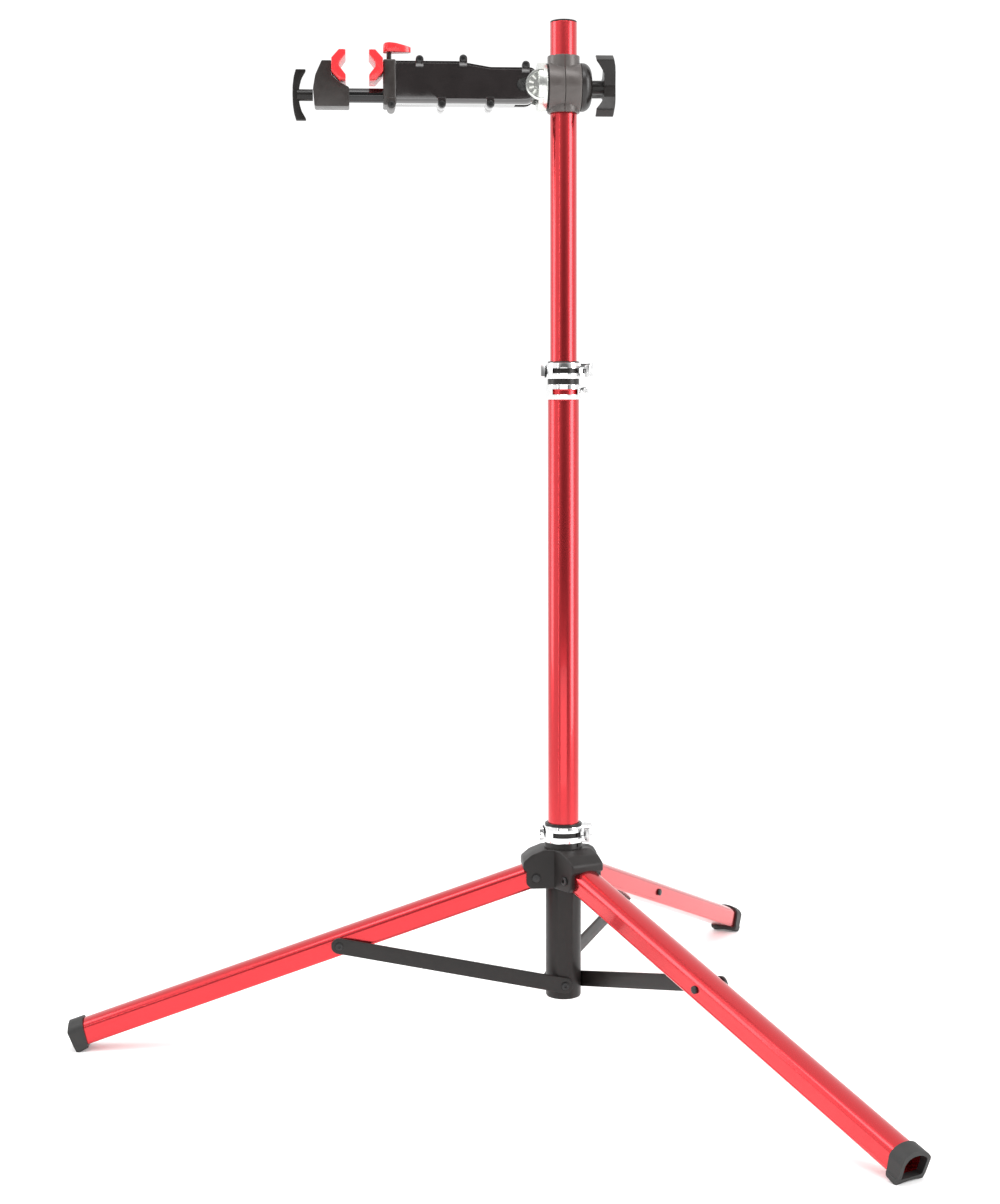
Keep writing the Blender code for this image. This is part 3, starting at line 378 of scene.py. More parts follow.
LOOKS = {
    "red_tube": (finish_of(
        "anodised_red_tube", (0.62, 0.036, 0.044), (0.52, 0.026, 0.033),
        rough=(0.17, 0.22), metallic=0.92, patch=12.0, grain=1400.0, bump=0.012, depth=0.02, coat=0.4,
        coat_rough=0.05, lines=(1.0, 1.0, 0.012), line_share=0.04), "red_metal"),
    "red_leg": (finish_of(
        "anodised_red_leg", (0.62, 0.034, 0.042), (0.52, 0.025, 0.031),
        rough=(0.19, 0.25), metallic=0.92, patch=12.0, grain=1400.0, bump=0.015, depth=0.02, coat=0.4,
        coat_rough=0.05), "red_metal"),
    "chrome": (finish_of(
        "polished_chrome", (0.86, 0.86, 0.86), (0.7, 0.71, 0.73),
        mottle=0.25, rough=(0.06, 0.16), metallic=1.0, patch=60.0, grain=1500.0, depth=0.02), "chrome"),
    "zinc": (finish_of(
        "bright_zinc", (0.72, 0.73, 0.7), (0.5, 0.52, 0.5),
        mottle=0.5, rough=(0.16, 0.3), metallic=0.85, patch=90.0, grain=1200.0, bump=0.12,
        depth=0.04), "zinc"),
    "dark_zinc": (finish_of(
        "dark_zinc_screw", (0.1, 0.1, 0.1), (0.22, 0.22, 0.21),
        mottle=0.4, rough=(0.18, 0.34), metallic=0.9, patch=150.0, grain=1500.0, bump=0.1,
        depth=0.03), "zinc"),
    "dark_steel": (finish_of(
        "blackened_stem", (0.022, 0.02, 0.019), (0.05, 0.046, 0.044),
        mottle=0.4, rough=(0.26, 0.4), metallic=0.4, patch=120.0, grain=1500.0, bump=0.12,
        depth=0.03), "steel"),
    "steel": (finish_of(
        "plated_steel", (0.6, 0.6, 0.6), (0.42, 0.42, 0.42),
        mottle=0.4, rough=(0.22, 0.38), metallic=1.0, patch=120.0, grain=1500.0, bump=0.1,
        depth=0.03), "steel"),
    "black_steel": (finish_of(
        "blackened_screws", (0.03, 0.03, 0.031), (0.075, 0.073, 0.07),
        mottle=0.4, rough=(0.28, 0.45), metallic=0.7, patch=160.0, grain=1600.0, bump=0.12,
        depth=0.03), "black_steel"),
    "casting": (finish_of(
        "satin_black_paint", (0.0115, 0.0095, 0.009), (0.021, 0.018, 0.017),
        mottle=0.5, rough=(0.34, 0.48), patch=60.0, grain=1800.0, bump=0.35, depth=0.06, coat_rough=0.3,
        specular=0.3), "casting"),
    "sleeve": (finish_of(
        "satin_black_sleeve", (0.0125, 0.01, 0.0095), (0.022, 0.019, 0.018),
        mottle=0.5, rough=(0.32, 0.46), patch=60.0, grain=1800.0, bump=0.3, coat_rough=0.3,
        specular=0.3), "sleeve"),
    "black_bar": (finish_of(
        "satin_black_bars", (0.01, 0.0082, 0.0078), (0.024, 0.021, 0.019),
        mottle=0.45, rough=(0.28, 0.42), patch=70.0, grain=1600.0, bump=0.22, depth=0.04, coat_rough=0.2,
        specular=0.35), "black_bar"),
    "nose": (finish_of(
        "satin_charcoal_casting", (0.024, 0.0195, 0.018), (0.042, 0.036, 0.033),
        mottle=0.5, rough=(0.28, 0.42), metallic=0.1, patch=60.0, grain=1500.0, bump=0.3, coat=0.15,
        coat_rough=0.25), "casting"),
    "shaft": (finish_of(
        "gloss_black_shaft", (0.01, 0.01, 0.011), (0.02, 0.019, 0.019),
        mottle=0.3, rough=(0.1, 0.18), metallic=0.4, patch=40.0, depth=0.02, coat=0.4,
        coat_rough=0.05), "shaft"),
    "barrel": (finish_of(
        "satin_grey_paint", (0.08, 0.069, 0.065), (0.112, 0.099, 0.093),
        mottle=0.5, rough=(0.3, 0.42), metallic=0.25, patch=60.0, grain=1800.0, bump=0.3, coat=0.1,
        coat_rough=0.3), "barrel"),
    "gloss_black": (finish_of(
        "gloss_black_shell", (0.009, 0.006, 0.006), (0.02, 0.015, 0.015),
        mottle=0.4, rough=(0.09, 0.17), patch=45.0, grain=400.0, bump=0.03, coat=1.0, coat_rough=0.06,
        specular=1.0), "gloss_black"),
    "satin_cap": (finish_of(
        "satin_black_cap", (0.011, 0.009, 0.0085), (0.02, 0.017, 0.016),
        mottle=0.4, rough=(0.27, 0.35), patch=60.0, grain=1500.0, bump=0.1, depth=0.03), "gloss_black"),
    "black_plastic": (finish_of(
        "moulded_black_plastic", (0.0085, 0.007, 0.0065), (0.019, 0.016, 0.015),
        mottle=0.4, rough=(0.28, 0.42), patch=70.0, grain=2200.0, bump=0.3, specular=0.35), "black_plastic"),
    "red_plastic": (finish_of(
        "moulded_red_plastic", (0.74, 0.03, 0.036), (0.62, 0.022, 0.028),
        mottle=0.4, rough=(0.22, 0.34), patch=60.0, grain=1800.0, bump=0.15, depth=0.04,
        coat=0.2), "red_plastic"),
    "rubber": (finish_of(
        "foot_rubber", (0.012, 0.012, 0.012), (0.036, 0.034, 0.032),
        mottle=0.6, rough=(0.48, 0.7), patch=90.0, grain=1500.0, bump=0.5, depth=0.08), "rubber"),
}


# Column

INNER_R, INNER_WALL, INNER_FOOT, INNER_TOP = 17.5, 1.6, 420.0, 1345.5      # upper tube
OUTER_R, OUTER_WALL, OUTER_FOOT, OUTER_TOP = 20.65, 1.75, 62.0, 878.3       # lower tube
SLEEVE_LOW, SLEEVE_TOP, SLEEVE_FLAT = 57.0, 209.2, 21.6
COLLAR_LOW, COLLAR_SPLIT, COLLAR_HIGH, COLLAR_R = 859.0, 886.0, 907.0, 23.7
RING_LOW, RING_HIGH, RING_R = 269.0, 291.5, 26.0


def tube(radius, wall, low, high):
    """Drawn tube with small rounded rims."""
    inner = radius - wall
    return turned([(inner, low + 0.4), (inner + 0.4, low), (radius - 0.5, low), (radius, low + 0.5),
                   (radius, high - 0.6), (radius - 0.2, high - 0.2), (radius - 0.6, high),
                   (inner + 0.4, high), (inner, high - 0.4)], ring=True)


def column():
    """The two tubes, the plug in the upper one's top, and the sleeve that the struts screw to."""
    dress(tube(OUTER_R, OUTER_WALL, OUTER_FOOT, OUTER_TOP), "fine_lower_tube", "base", "red_tube")
    dress(tube(INNER_R, INNER_WALL, INNER_FOOT, INNER_TOP), "fine_upper_tube", "mast", "red_tube")
    bore = INNER_R - INNER_WALL - GAP
    plug = turned([(bore, 1323.5), (bore, 1345.8), (INNER_R - 0.5, 1345.8), (INNER_R - 0.15, 1346.2),
                   (INNER_R - 0.3, 1347.0), (INNER_R - 1.1, 1347.7), (INNER_R - 2.4, 1348.1), (9.0, 1348.1),
                   (8.6, 1347.5), (4.0, 1347.4)])
    dress(plug, "fine_top_plug", "mast", "black_plastic")
    shape = turned([(OUTER_R + GAP, SLEEVE_LOW + 4.6), (OUTER_R + GAP, SLEEVE_TOP), (22.9, SLEEVE_TOP),
                    (23.4, SLEEVE_TOP - 0.3), (23.7, SLEEVE_TOP - 1.0), (23.7, SLEEVE_LOW + 4.0),
                    (23.4, SLEEVE_LOW + 2.2), (22.5, SLEEVE_LOW + 0.9), (21.0, SLEEVE_LOW + 0.15),
                    (20.0, SLEEVE_LOW), (14.6, SLEEVE_LOW), (14, SLEEVE_LOW + 0.6), (14, SLEEVE_LOW + 4.6)],
                   ring=True)
    for _, turn in LEGS:
        carve(shape, about(block((-30, SLEEVE_FLAT, SLEEVE_LOW - 5), (30, 60, SLEEVE_TOP + 5)), turn))
    dress(shape, "fine_strut_sleeve", "base", "sleeve")


HINGE = (31.0, 17.5)            # lever's pin, beside and behind the column
SLOT = 3.3                      # half height of a ring clamp's slot


def ring_clamp(inner, outer, low, high):
    """Split ring with two ears and a level slot across its front."""
    middle = (low + high) / 2
    ring = turned([(inner, low), (outer - 0.9, low), (outer - 0.25, low + 0.25), (outer, low + 0.9),
                   (outer, high - 0.9), (outer - 0.25, high - 0.25), (outer - 0.9, high), (inner, high)],
                  ring=True)
    plan = rounded([(outer - 5, -11, 0), (35, -11, 3), (39, -7, 3), (39, 7, 3), (35, 11, 3),
                    (outer - 5, 11, 0)])
    ears = plate(plan, "Z", low + 0.06, high - 0.06)
    eased(ears, 1.0, 3)
    drill(ears, outer - 2, low - 5, high + 5)
    join(ring, ears)
    carve(ring, block((inner - 6, -1.0, low - 5), (50, 1.0, high + 5)))
    carve(ring, block((-16, -60, middle - SLOT), (50, -6, middle + SLOT)))
    carve(ring, block((outer + 1.2, -20, middle - SLOT), (50, 20, middle + SLOT)))
    return ring


def skewer(low, high):
    """Cross rod with its upright nut bar in front, and the lever's pin through its eye behind."""
    middle = (low + high) / 2
    x, y = HINGE
    bar = turned([(3.0, middle - 8), (3.7, middle - 7.7), (4.0, middle - 7), (4.0, middle + 7),
                  (3.7, middle + 7.7), (3.0, middle + 8)], "Z", (x, -15.3), 48)
    join(bar, turned([(2.5, -15.3), (2.5, y)], "Y", (x, middle), 32))
    join(bar, turned([(4.4, middle - 3.2), (4.4, middle + 3.2)], "Z", (x, y), 48))
    join(bar, turned([(1.6, middle - 9.6), (2.0, middle - 9.2), (2.0, middle + 9.2), (1.6, middle + 9.6)],
                     "Z", (x, y), 32))
    return bar


def curved_lever(outer, low, high):
    """Lever bent round the back of a ring, with a forked cam head on the skewer's pin."""
    middle = (low + high) / 2
    x, y = HINGE
    inner, outside = outer + 1.6, outer + 6.9
    arm = turned([(inner, middle - 10), (outside - 1.4, middle - 10), (outside - 0.4, middle - 9.6),
                  (outside, middle - 8.6), (outside, middle + 8.6), (outside - 0.4, middle + 9.6),
                  (outside - 1.4, middle + 10), (inner, middle + 10)], ring=True)
    wedge = [(0.0, 0.0)] + [(60 * cos(radians(a)), 60 * sin(radians(a))) for a in range(33, 192, 2)]
    common(arm, plate(wedge, "Z", middle - 20, middle + 20))
    side = [(-50, middle - 8.4), (-24, middle - 8.6), (0, middle - 9.7), (60, middle - 10.2),
            (60, middle + 10.2), (0, middle + 9.7), (-24, middle + 8.6), (-50, middle + 8.4)]
    common(arm, plate(side, "Y", -60, 60))
    tip = [(0, middle + 30), (-60, middle + 30), (-60, middle - 30), (0, middle - 30), (0, middle - 8.8)]
    for step in range(13):
        a = radians(-90 - 15 * step)
        tip.append((8.8 * cos(a), middle + 8.8 * sin(a)))
    carve(arm, plate(tip, "X", -80, 0))
    eased(arm, 1.2, 3, 50)
    cam = turned([(5.2, middle - 9.2), (5.8, middle - 8.9), (6.0, middle - 8.3), (6.0, middle + 8.3),
                  (5.8, middle + 8.9), (5.2, middle + 9.2)], "Z", (x, y), 48)
    join(arm, cam)
    drill(arm, 6.6, middle - 3.6, middle + 3.6, "Z", (x, y), 48)
    drill(arm, 2.3, middle - 20, middle + 20, "Z", (x, y), 32)
    return arm


def collar():
    """Collar at the lower tube's top: a pinched ring below, the quick-release ring above."""
    upper = ring_clamp(OUTER_R + GAP, COLLAR_R, COLLAR_SPLIT, COLLAR_HIGH)
    top = OUTER_TOP + 0.3
    pinch = turned([(OUTER_R + GAP, COLLAR_LOW), (COLLAR_R - 0.9, COLLAR_LOW),
                    (COLLAR_R - 0.25, COLLAR_LOW + 0.25), (COLLAR_R, COLLAR_LOW + 0.9), (COLLAR_R, top - 0.6),
                    (COLLAR_R - 0.6, top), (OUTER_R + GAP, top)], ring=True)
    plan = rounded([(18, -8, 0), (30, -8, 3), (33, -4, 2), (33, 4, 2), (30, 8, 3), (18, 8, 0)])
    ears = plate(plan, "Z", 865.5, 875.5)
    eased(ears, 0.8, 3)
    drill(ears, COLLAR_R - 2, 860, 880)
    join(pinch, ears)
    carve(pinch, block((15, -0.8, 850), (50, 0.8, 885)))
    carve(pinch, block((-16, -60, 865.5), (17, -6, 872.5)))
    back = turned([(OUTER_R + 0.8, top - 4), (COLLAR_R - 0.5, top - 4), (COLLAR_R - 0.5, COLLAR_SPLIT + 4),
                   (OUTER_R + 0.8, COLLAR_SPLIT + 4)], ring=True)
    carve(back, block((-60, -60, 860), (60, 12, 900)))
    at = (28.0, 870.5)
    drill(pinch, 2.3, -30, 30, "Y", at, 32)
    join(upper, back)
    join(upper, pinch)
    dress(upper, "fine_mid_collar", "base", "chrome")
    bolt = screw(2.0, -8.3, -11.2, 9.5, 3.7, at, head_sides=32)
    join(bolt, turned([(3.6, 8.3), (3.6, 10.6), (3.3, 11.0)], "Y", at, 6))
    dress(bolt, "fine_mid_pinch_bolt", "base", "steel")
    dress(skewer(COLLAR_SPLIT, COLLAR_HIGH), "fine_mid_skewer", "base", "steel")
    dress(curved_lever(COLLAR_R, COLLAR_SPLIT, COLLAR_HIGH), "fine_mid_lever", "mid_lever", "chrome")
    liner = OUTER_R - OUTER_WALL - GAP
    bush = turned([(INNER_R + GAP, 834), (liner, 834), (liner, OUTER_TOP + GAP), (OUTER_R, OUTER_TOP + GAP),
                   (OUTER_R, COLLAR_HIGH + 1.0), (OUTER_R - 0.3, COLLAR_HIGH + 1.6),
                   (OUTER_R - 0.9, COLLAR_HIGH + 2), (INNER_R + 0.5, COLLAR_HIGH + 2),
                   (INNER_R + GAP, COLLAR_HIGH + 1.6)], ring=True)
    dress(bush, "fine_mid_bush", "swivel", "black_plastic")


def screw(shank, seat, top, end, head, at, head_sides=48):
    """Screw along the Y axis: domed head from its seat to its top, a hex socket in it, and a plain shank."""
    way = 1 if top > seat else -1
    tall = abs(top - seat)
    shape = turned([(head, seat), (head, top - way * 0.45 * tall), (head * 0.93, top - way * 0.15 * tall),
                    (head * 0.78, top)], "Y", at, head_sides)
    join(shape, turned([(shank, top - way * 0.5 * tall), (shank, end)], "Y", at, 32))
    return drill(shape, head * 0.5, top - way * 0.6 * tall, top + way * 2, "Y", at, 6)


# Hub

PIVOT = (39.0, 224.5)           # a leg's turning point: distance from the column's axis, and height
BOLT_BORE, SCREW_BORE = 3.3, 2.8
HUB_HALF = 25.5                 # half width of an arm of the hub


def arched(half, low, side, crown, steps=16):
    """Doorway outline: a flat foot, straight sides and an arched top."""
    outline = [(-half, low), (half, low)]
    for step in range(steps + 1):
        a = pi * step / steps
        outline.append((half * cos(a), side + (crown - side) * sin(a)))
    return outline


def leg_bay():
    """Room in the hub for a leg's turning end: a level arch that then slopes down and out."""
    bay = plate(arched(19.5, 190.0, 238.2, 247.6), "X", 24.8, 46.0)
    for face in bay.data.polygons:
        face.select = face.center.x > 45.9 * MM
    bpy.ops.object.mode_set(mode="EDIT")
    bpy.ops.mesh.extrude_region_move(TRANSFORM_OT_translate={"value": (0.034, 0, -0.0184)})
    return closed_up()


def hub():
    """Hub casting with three arms, its clamp ring, plastic bush, skewer, lever and leg bolts."""
    low = SLEEVE_TOP + GAP
    shape = turned([(26.6, low), (27.3, low + 0.4), (27.5, low + 1.2), (27.5, 257.5), (27.0, 259.4),
                    (25.6, 261.2), (25.3, 262.2), (25.3, 268.0), (24.9, 268.7), (23.2, 268.7), (23.2, 291.2)])
    side = rounded([(0, low, 0), (45.5, low, 0), (51.5, low + 6, 5), (51.5, 233, 0), (56, 236, 2.5),
                    (56, 246, 7), (44.5, 255.5, 16), (28, 262, 14), (0, 262, 0)])
    for number, (_, turn) in enumerate(LEGS):
        arm = plate([(x, z + 0.03 * number) for x, z in side], "Y", -HUB_HALF, HUB_HALF)
        join(shape, about(eased(arm, 2.2, 4, 50), turn))
    for _, turn in LEGS:
        carve(shape, about(leg_bay(), turn))
        carve(shape, about(turned([(BOLT_BORE, -60), (BOLT_BORE, 60)], "Y", PIVOT, 32), turn))
    drill(shape, 21.0, 190, 300)
    drill(shape, 22.3, 263, 310)
    carve(shape, about(block((15, -1.2, 264), (40, 1.2, 300)), -48))
    dress(shape, "fine_hub", "hub", "casting")
    dress(ring_clamp(23.5, RING_R, RING_LOW, RING_HIGH), "fine_base_collar", "hub", "chrome")
    bush = turned([(20.95, 264), (22.0, 264), (22.0, RING_HIGH + GAP), (24.5, RING_HIGH + GAP),
                   (24.8, RING_HIGH + 0.7), (24.8, RING_HIGH + 2.4), (24.5, RING_HIGH + 3.1),
                   (23.9, RING_HIGH + 3.5), (21.4, RING_HIGH + 3.5), (20.95, RING_HIGH + 3.1)], ring=True)
    dress(bush, "fine_base_bush", "hub", "black_plastic")
    dress(skewer(RING_LOW, RING_HIGH), "fine_base_skewer", "hub", "steel")
    dress(curved_lever(RING_R, RING_LOW, RING_HIGH), "fine_base_lever", "base_lever", "chrome")
    seat = HUB_HALF + GAP
    bolt = screw(3.0, -seat, -28.5, 26.6, 5.5, PIVOT)
    join(bolt, turned([(5.5, seat), (5.5, 27.6), (5.1, 28.3), (4.4, 28.5)], "Y", PIVOT, 48))
    for name, turn in LEGS:
        dress(about(twin(bolt), turn), "fine_leg_bolt_" + name, "hub", "black_steel")
    bpy.data.objects.remove(bolt, do_unlink=True)


# Legs, feet and struts

SLOPE = radians(18.6)
LEG_END = 642.0                 # from the leg's pivot to its end
LEG_HALF, LEG_SIDE, LEG_CROWN, LEG_UNDER = 19.0, 21.5, 10.5, 13.8
STRUT_IN, STRUT_OUT, STRUT_HALF = 21.9, 25.9, 10.5
STRUT_TOP = (301.5, 137.4)
STRUT_FOOT = (0.0, 77.2)


def leg_section(grow=0.0, under=None):
    """Leg section: flat sides, a raised rib along each lower edge, and an arched top."""
    half = LEG_HALF + grow
    foot = under if under is not None else -grow
    corners = [(-half + 2.6, foot, 0.8), (half - 2.6, foot, 0.8), (half, 3.4, 1.2)]
    outline = rounded([(-half, 3.4, 1.2)] + corners + [(half, LEG_SIDE, 0)], 3)[:-1]
    crown = LEG_CROWN + grow
    for step in range(25):
        a = pi * step / 24
        outline.append((half * cos(a), LEG_SIDE + crown * sin(a)))
    return outline


def sloped(obj):
    """Turn a piece drawn level from the origin down the leg's slope, and move it to the leg's pivot."""
    pick(obj)
    shift = Matrix.Translation(Vector((PIVOT[0], 0, PIVOT[1])) * MM)
    obj.data.transform(shift @ Matrix.Rotation(SLOPE, 4, "Y"))
    return obj


def along_leg(outline, low, high):
    """A bar of this section along the leg's slope, measured from the leg's pivot."""
    return sloped(plate([(n, h - LEG_UNDER) for n, h in outline], "X", low, high))


def leg():
    """Hollow leg with a rounded lower corner at its turning end, bored for its two bolts."""
    shape = along_leg(leg_section(), -10.0, LEG_END)
    carve(shape, along_leg(leg_section(-2.2), -15.0, LEG_END + 5))
    corner = [(-30.0, -33.8), (4.0, -33.8)]
    for step in range(13):
        a = radians(270 - 7.5 * step)
        corner.append((LEG_UNDER * cos(a), LEG_UNDER * sin(a)))
    corner.append((-30.0, 0.0))
    carve(shape, sloped(plate(corner, "Y", -40, 40)))
    drill(shape, BOLT_BORE, -60, 60, "Y", PIVOT, 32)
    return drill(shape, SCREW_BORE, -60, 60, "Y", STRUT_TOP, 32)


def foot():
    """Rubber boot over the leg's end, open at its front, with a shallow arch in its tread."""
    shape = along_leg(leg_section(3.0, -8.0), 560, 720)
    side = rounded([(633.6, 6.2, 1.5), (645.0, 0, 1), (649.5, 0, 1), (661, 27, 5), (661, 41.5, 4),
                    (643.6, 46.5, 1.5)])
    common(shape, eased(plate(side, "Y", -40, 40), 0.1, 1, 89))
    carve(shape, along_leg(leg_section(GAP), 500, LEG_END + GAP))
    carve(shape, along_leg(leg_section(-2.2), 600, 750))
    return drill(shape, 70, 600, 700, "X", (0, -68.2))


def strut():
    """Flat bar with round ends, between the sleeve and the leg."""
    dr, dz = STRUT_TOP[0] - STRUT_FOOT[0], STRUT_TOP[1] - STRUT_FOOT[1]
    length = hypot(dr, dz)
    u, v = dr / length, dz / length
    outline = []
    for centre, first in ((0.0, 90.0), (length, -90.0)):
        for step in range(21):
            a = radians(first + 9.0 * step)
            run, up = centre + STRUT_HALF * cos(a), STRUT_HALF * sin(a)
            outline.append((STRUT_FOOT[0] + run * u - up * v, STRUT_FOOT[1] + run * v + up * u))
    bar = eased(plate(outline, "Y", STRUT_IN, STRUT_OUT), 0.7, 3)
    for place in (STRUT_FOOT, STRUT_TOP):
        drill(bar, SCREW_BORE, 0, 60, "Y", place, 32)
    return bar


def tripod():
    """Three legs, feet and struts with their screws: each modelled once, copied, and turned into place."""
    first = {"leg": leg(), "foot": foot(), "strut": strut()}
    seat, top = STRUT_OUT + GAP, STRUT_OUT + 2.8
    pivot = screw(2.5, seat, top, -20.0, 5.0, STRUT_TOP)
    join(pivot, turned([(5.0, -19.3), (5.0, -20.6), (4.6, -21.4), (3.9, -21.8)], "Y", STRUT_TOP, 48))
    join(pivot, turned([(5.0, 19.3), (5.0, STRUT_IN - GAP)], "Y", STRUT_TOP, 48))
    lower = screw(2.5, seat, top, STRUT_IN + 0.1, 5.0, STRUT_FOOT)
    for name, turn in LEGS:
        dress(about(twin(first["leg"]), turn), "fine_leg_" + name, "leg_" + name, "red_leg")
        dress(about(twin(first["foot"]), turn), "fine_foot_" + name, "leg_" + name, "rubber")
        dress(about(twin(first["strut"]), turn), "fine_strut_" + name, "strut_" + name, "black_bar")
        dress(about(twin(pivot), turn), "fine_strut_pivot_" + name, "leg_" + name, "black_steel")
        dress(about(twin(lower), turn), "fine_strut_screw_" + name, "strut_" + name, "black_steel")
    for obj in (*first.values(), pivot, lower):
        bpy.data.objects.remove(obj, do_unlink=True)


# Head

BARREL_R, BARREL_LEFT, BARREL_RIGHT = 31.3, -20.7, 21.5
WASHER_FACE = BARREL_LEFT - 1.9
SADDLE_R = 21.0
FOLD_X = -54.2                  # the arm's folding screw
DISC_X = -31.8                  # centre of the knuckle's toothed discs
REAR, FRONT, NOSE = -36.8, -217.8, -234.3
BODY_HALF = 22.0
SHAFT_Z, SHAFT_R = HEAD - 12.5, 9.25
PAD_Z, PAD_HALF, PAD_TIP = HEAD + 22.6, 31.0, 18.7
RELEASE_X, PIN_Z = -226.5, HEAD + 46


def at_head(corners):
    """Side-view corners (x, height from the head's axis, radius) moved up to the head."""
    return [(x, HEAD + dz, radius) for x, dz, radius in corners]


def barrel():
    """Two half shells round the upper tube, the domed end cap and the arm's friction washer."""
    for name, low, high in (("barrel_left", BARREL_LEFT, -0.3), ("barrel_right", 0.3, BARREL_RIGHT)):
        r = BARREL_R
        near, far = (0.5, 1.2) if low > 0 else (1.2, 0.5)
        shell = turned([(r - near, low), (r - 0.3 * near, low + 0.3 * near), (r, low + near), (r, high - far),
                        (r - 0.3 * far, high - 0.3 * far), (r - far, high)], "X", (0, HEAD), 128)
        saddle = turned([(SADDLE_R - 1.2, HEAD - 33.6), (SADDLE_R - 0.35, HEAD - 33.3),
                         (SADDLE_R, HEAD - 32.4), (SADDLE_R, HEAD + 38.4),
                         (SADDLE_R - 0.35, HEAD + 39.3), (SADDLE_R - 1.2, HEAD + 39.6)])
        join(shell, common(saddle, block((low, -50, HEAD - 60), (high, 50, HEAD + 60))))
        eased(shell, 1.2, 3, 60)
        drill(shell, INNER_R + GAP, HEAD - 80, HEAD + 80)
        dress(shell, "fine_" + name, "mast", "barrel")
    x = BARREL_RIGHT + GAP
    dome = [(BARREL_R - 0.7, x), (BARREL_R - 0.4, x + 0.3), (BARREL_R - 0.4, x + 2.5)]
    for step in range(1, 17):
        a = radians(90 * step / 16)
        dome.append((16.5 + (BARREL_R - 16.9) * cos(a), x + 2.5 + 11.7 * sin(a)))
    cap = turned(dome, "X", (0, HEAD), 128)
    drill(cap, 6.3, x + 8, x + 30, "X", (0, HEAD), 48)
    dress(cap, "fine_barrel_cap", "mast", "satin_cap")
    low, high = WASHER_FACE, BARREL_LEFT - GAP
    washer = turned([(12.0, low), (29.7, low), (30.0, low + 0.3), (30.0, high - 0.3), (29.7, high),
                     (12.0, high)], "X", (0, HEAD), 128, ring=True)
    dress(washer, "fine_spin_washer", "mast", "black_plastic")


def knob():
    """Knob with three blunt arms, one pointing back: domed in front, a hollow cone behind, on its stem."""
    corners = []
    for arm in (0, 120, 240):
        c, s = cos(radians(arm)), sin(radians(arm))
        for along, across, r in ((22.0, -9.4, 12), (41.2, -7.9, 1.6), (41.2, 7.9, 1.6), (22.0, 9.4, 12)):
            corners.append((along * c - across * s, HEAD + along * s + across * c, r))
        corners.append((16.4 * cos(radians(arm + 60)), HEAD + 16.4 * sin(radians(arm + 60)), 9))
    shape = plate(rounded(corners, 12), "X", 39.4, 74.0)
    dome = [(39.6, 39.9), (41.0, 40.6), (43.0, 41.4), (43.0, 61.6), (41.6, 62.8), (39.4, 63.8), (34.0, 65.0),
            (26.0, 65.8), (14.0, 66.2)]
    common(shape, turned([(20.0, 39.6)] + dome, "X", (0, HEAD), 128))
    hollow = [(41.0, 38.0), (40.4, 40.0), (36.0, 43.6), (29.0, 48.4), (24.5, 51.0), (13.0, 51.8)]
    carve(shape, turned(hollow, "X", (0, HEAD), 96))
    join(shape, turned([(8.6, 36.6), (9.0, 37.0), (9.0, 54.0)], "X", (0, HEAD), 64))
    join(shape, turned([(6.0, 30.5), (6.0, 54.0)], "X", (0, HEAD), 48))
    eased(shape, 0.8, 3, 40)
    dress(shape, "fine_knob", "knob", "black_plastic", angle=40)


def knuckle():
    """Turning flange with two toothed cheek discs, and the fold tongue in its pocket."""
    face = WASHER_FACE - GAP
    flange = turned([(30.0, face), (30.7, face - 0.3), (31.0, face - 1.0), (31.0, -33.4), (30.6, -34.4),
                     (29.8, -34.8)], "X", (0, HEAD), 128)
    for side in (-1, 1):
        inner, outer = side * (BODY_HALF + GAP), side * 26.0
        way = -side
        disc = turned([(19.7, inner), (19.7, outer + way * 0.9), (19.4, outer + way * 0.25), (18.6, outer),
                       (16.6, outer), (16.2, outer + way * 2.2), (7.4, outer + way * 2.2), (7.0, outer)],
                      "Y", (DISC_X, HEAD), 128)
        carve(disc, block((-28.0, -60, HEAD - 40), (20, 60, HEAD + 40)))
        teeth = []
        for step in range(6):
            tooth = block((9.2, -1.7, -1.7), (15.6, 1.7, 1.7))
            about(tooth, 45, "X")
            about(tooth, 90 + 32.7 * (step + 0.25), "Y")
            tooth.location = (DISC_X * MM, (outer + way * 2.6) * MM, HEAD * MM)
            teeth.append(tooth)
        pick(teeth[0])
        for tooth in teeth:
            tooth.select_set(True)
        bpy.ops.object.join()
        bpy.ops.object.transform_apply(location=True, rotation=True, scale=True)
        join(disc, teeth[0])
        join(flange, disc)
    carve(flange, block((-60, -7.8, HEAD - 9.3), (face - 1.5, 7.8, HEAD + 9.3)))
    dress(flange, "fine_knuckle", "knuckle", "zinc")
    side = [(-24.7, HEAD - 9.0), (-24.7, HEAD + 9.0)]
    for step in range(25):
        a = radians(90 + 7.5 * step)
        side.append((FOLD_X + 9.0 * cos(a), HEAD + 9.0 * sin(a)))
    tongue = eased(plate(side, "Y", -7.5, 7.5), 0.5, 2)
    drill(tongue, 4.3, -30, 30, "Y", (FOLD_X, HEAD), 48)
    dress(tongue, "fine_fold_tongue", "fold_pivot", "zinc")
    end = BODY_HALF - 0.4
    screw_body = turned([(8.0, -end), (8.2, 0.2 - end), (8.2, -18.0), (4.0, -18.0), (4.0, 18.0), (8.2, 18.0),
                         (8.2, end - 0.2), (8.0, end)], "Y", (FOLD_X, HEAD), 96)
    for turn in (45, 135):
        groove = block((-5.5, -25, -0.9), (5.5, 1.2 - end, 0.9))
        about(groove, turn, "Y")
        pick(groove)
        groove.location = (FOLD_X * MM, 0, HEAD * MM)
        bpy.ops.object.transform_apply(location=True, rotation=True, scale=True)
        carve(screw_body, groove)
    dress(screw_body, "fine_fold_screw", "fold_pivot", "dark_zinc")


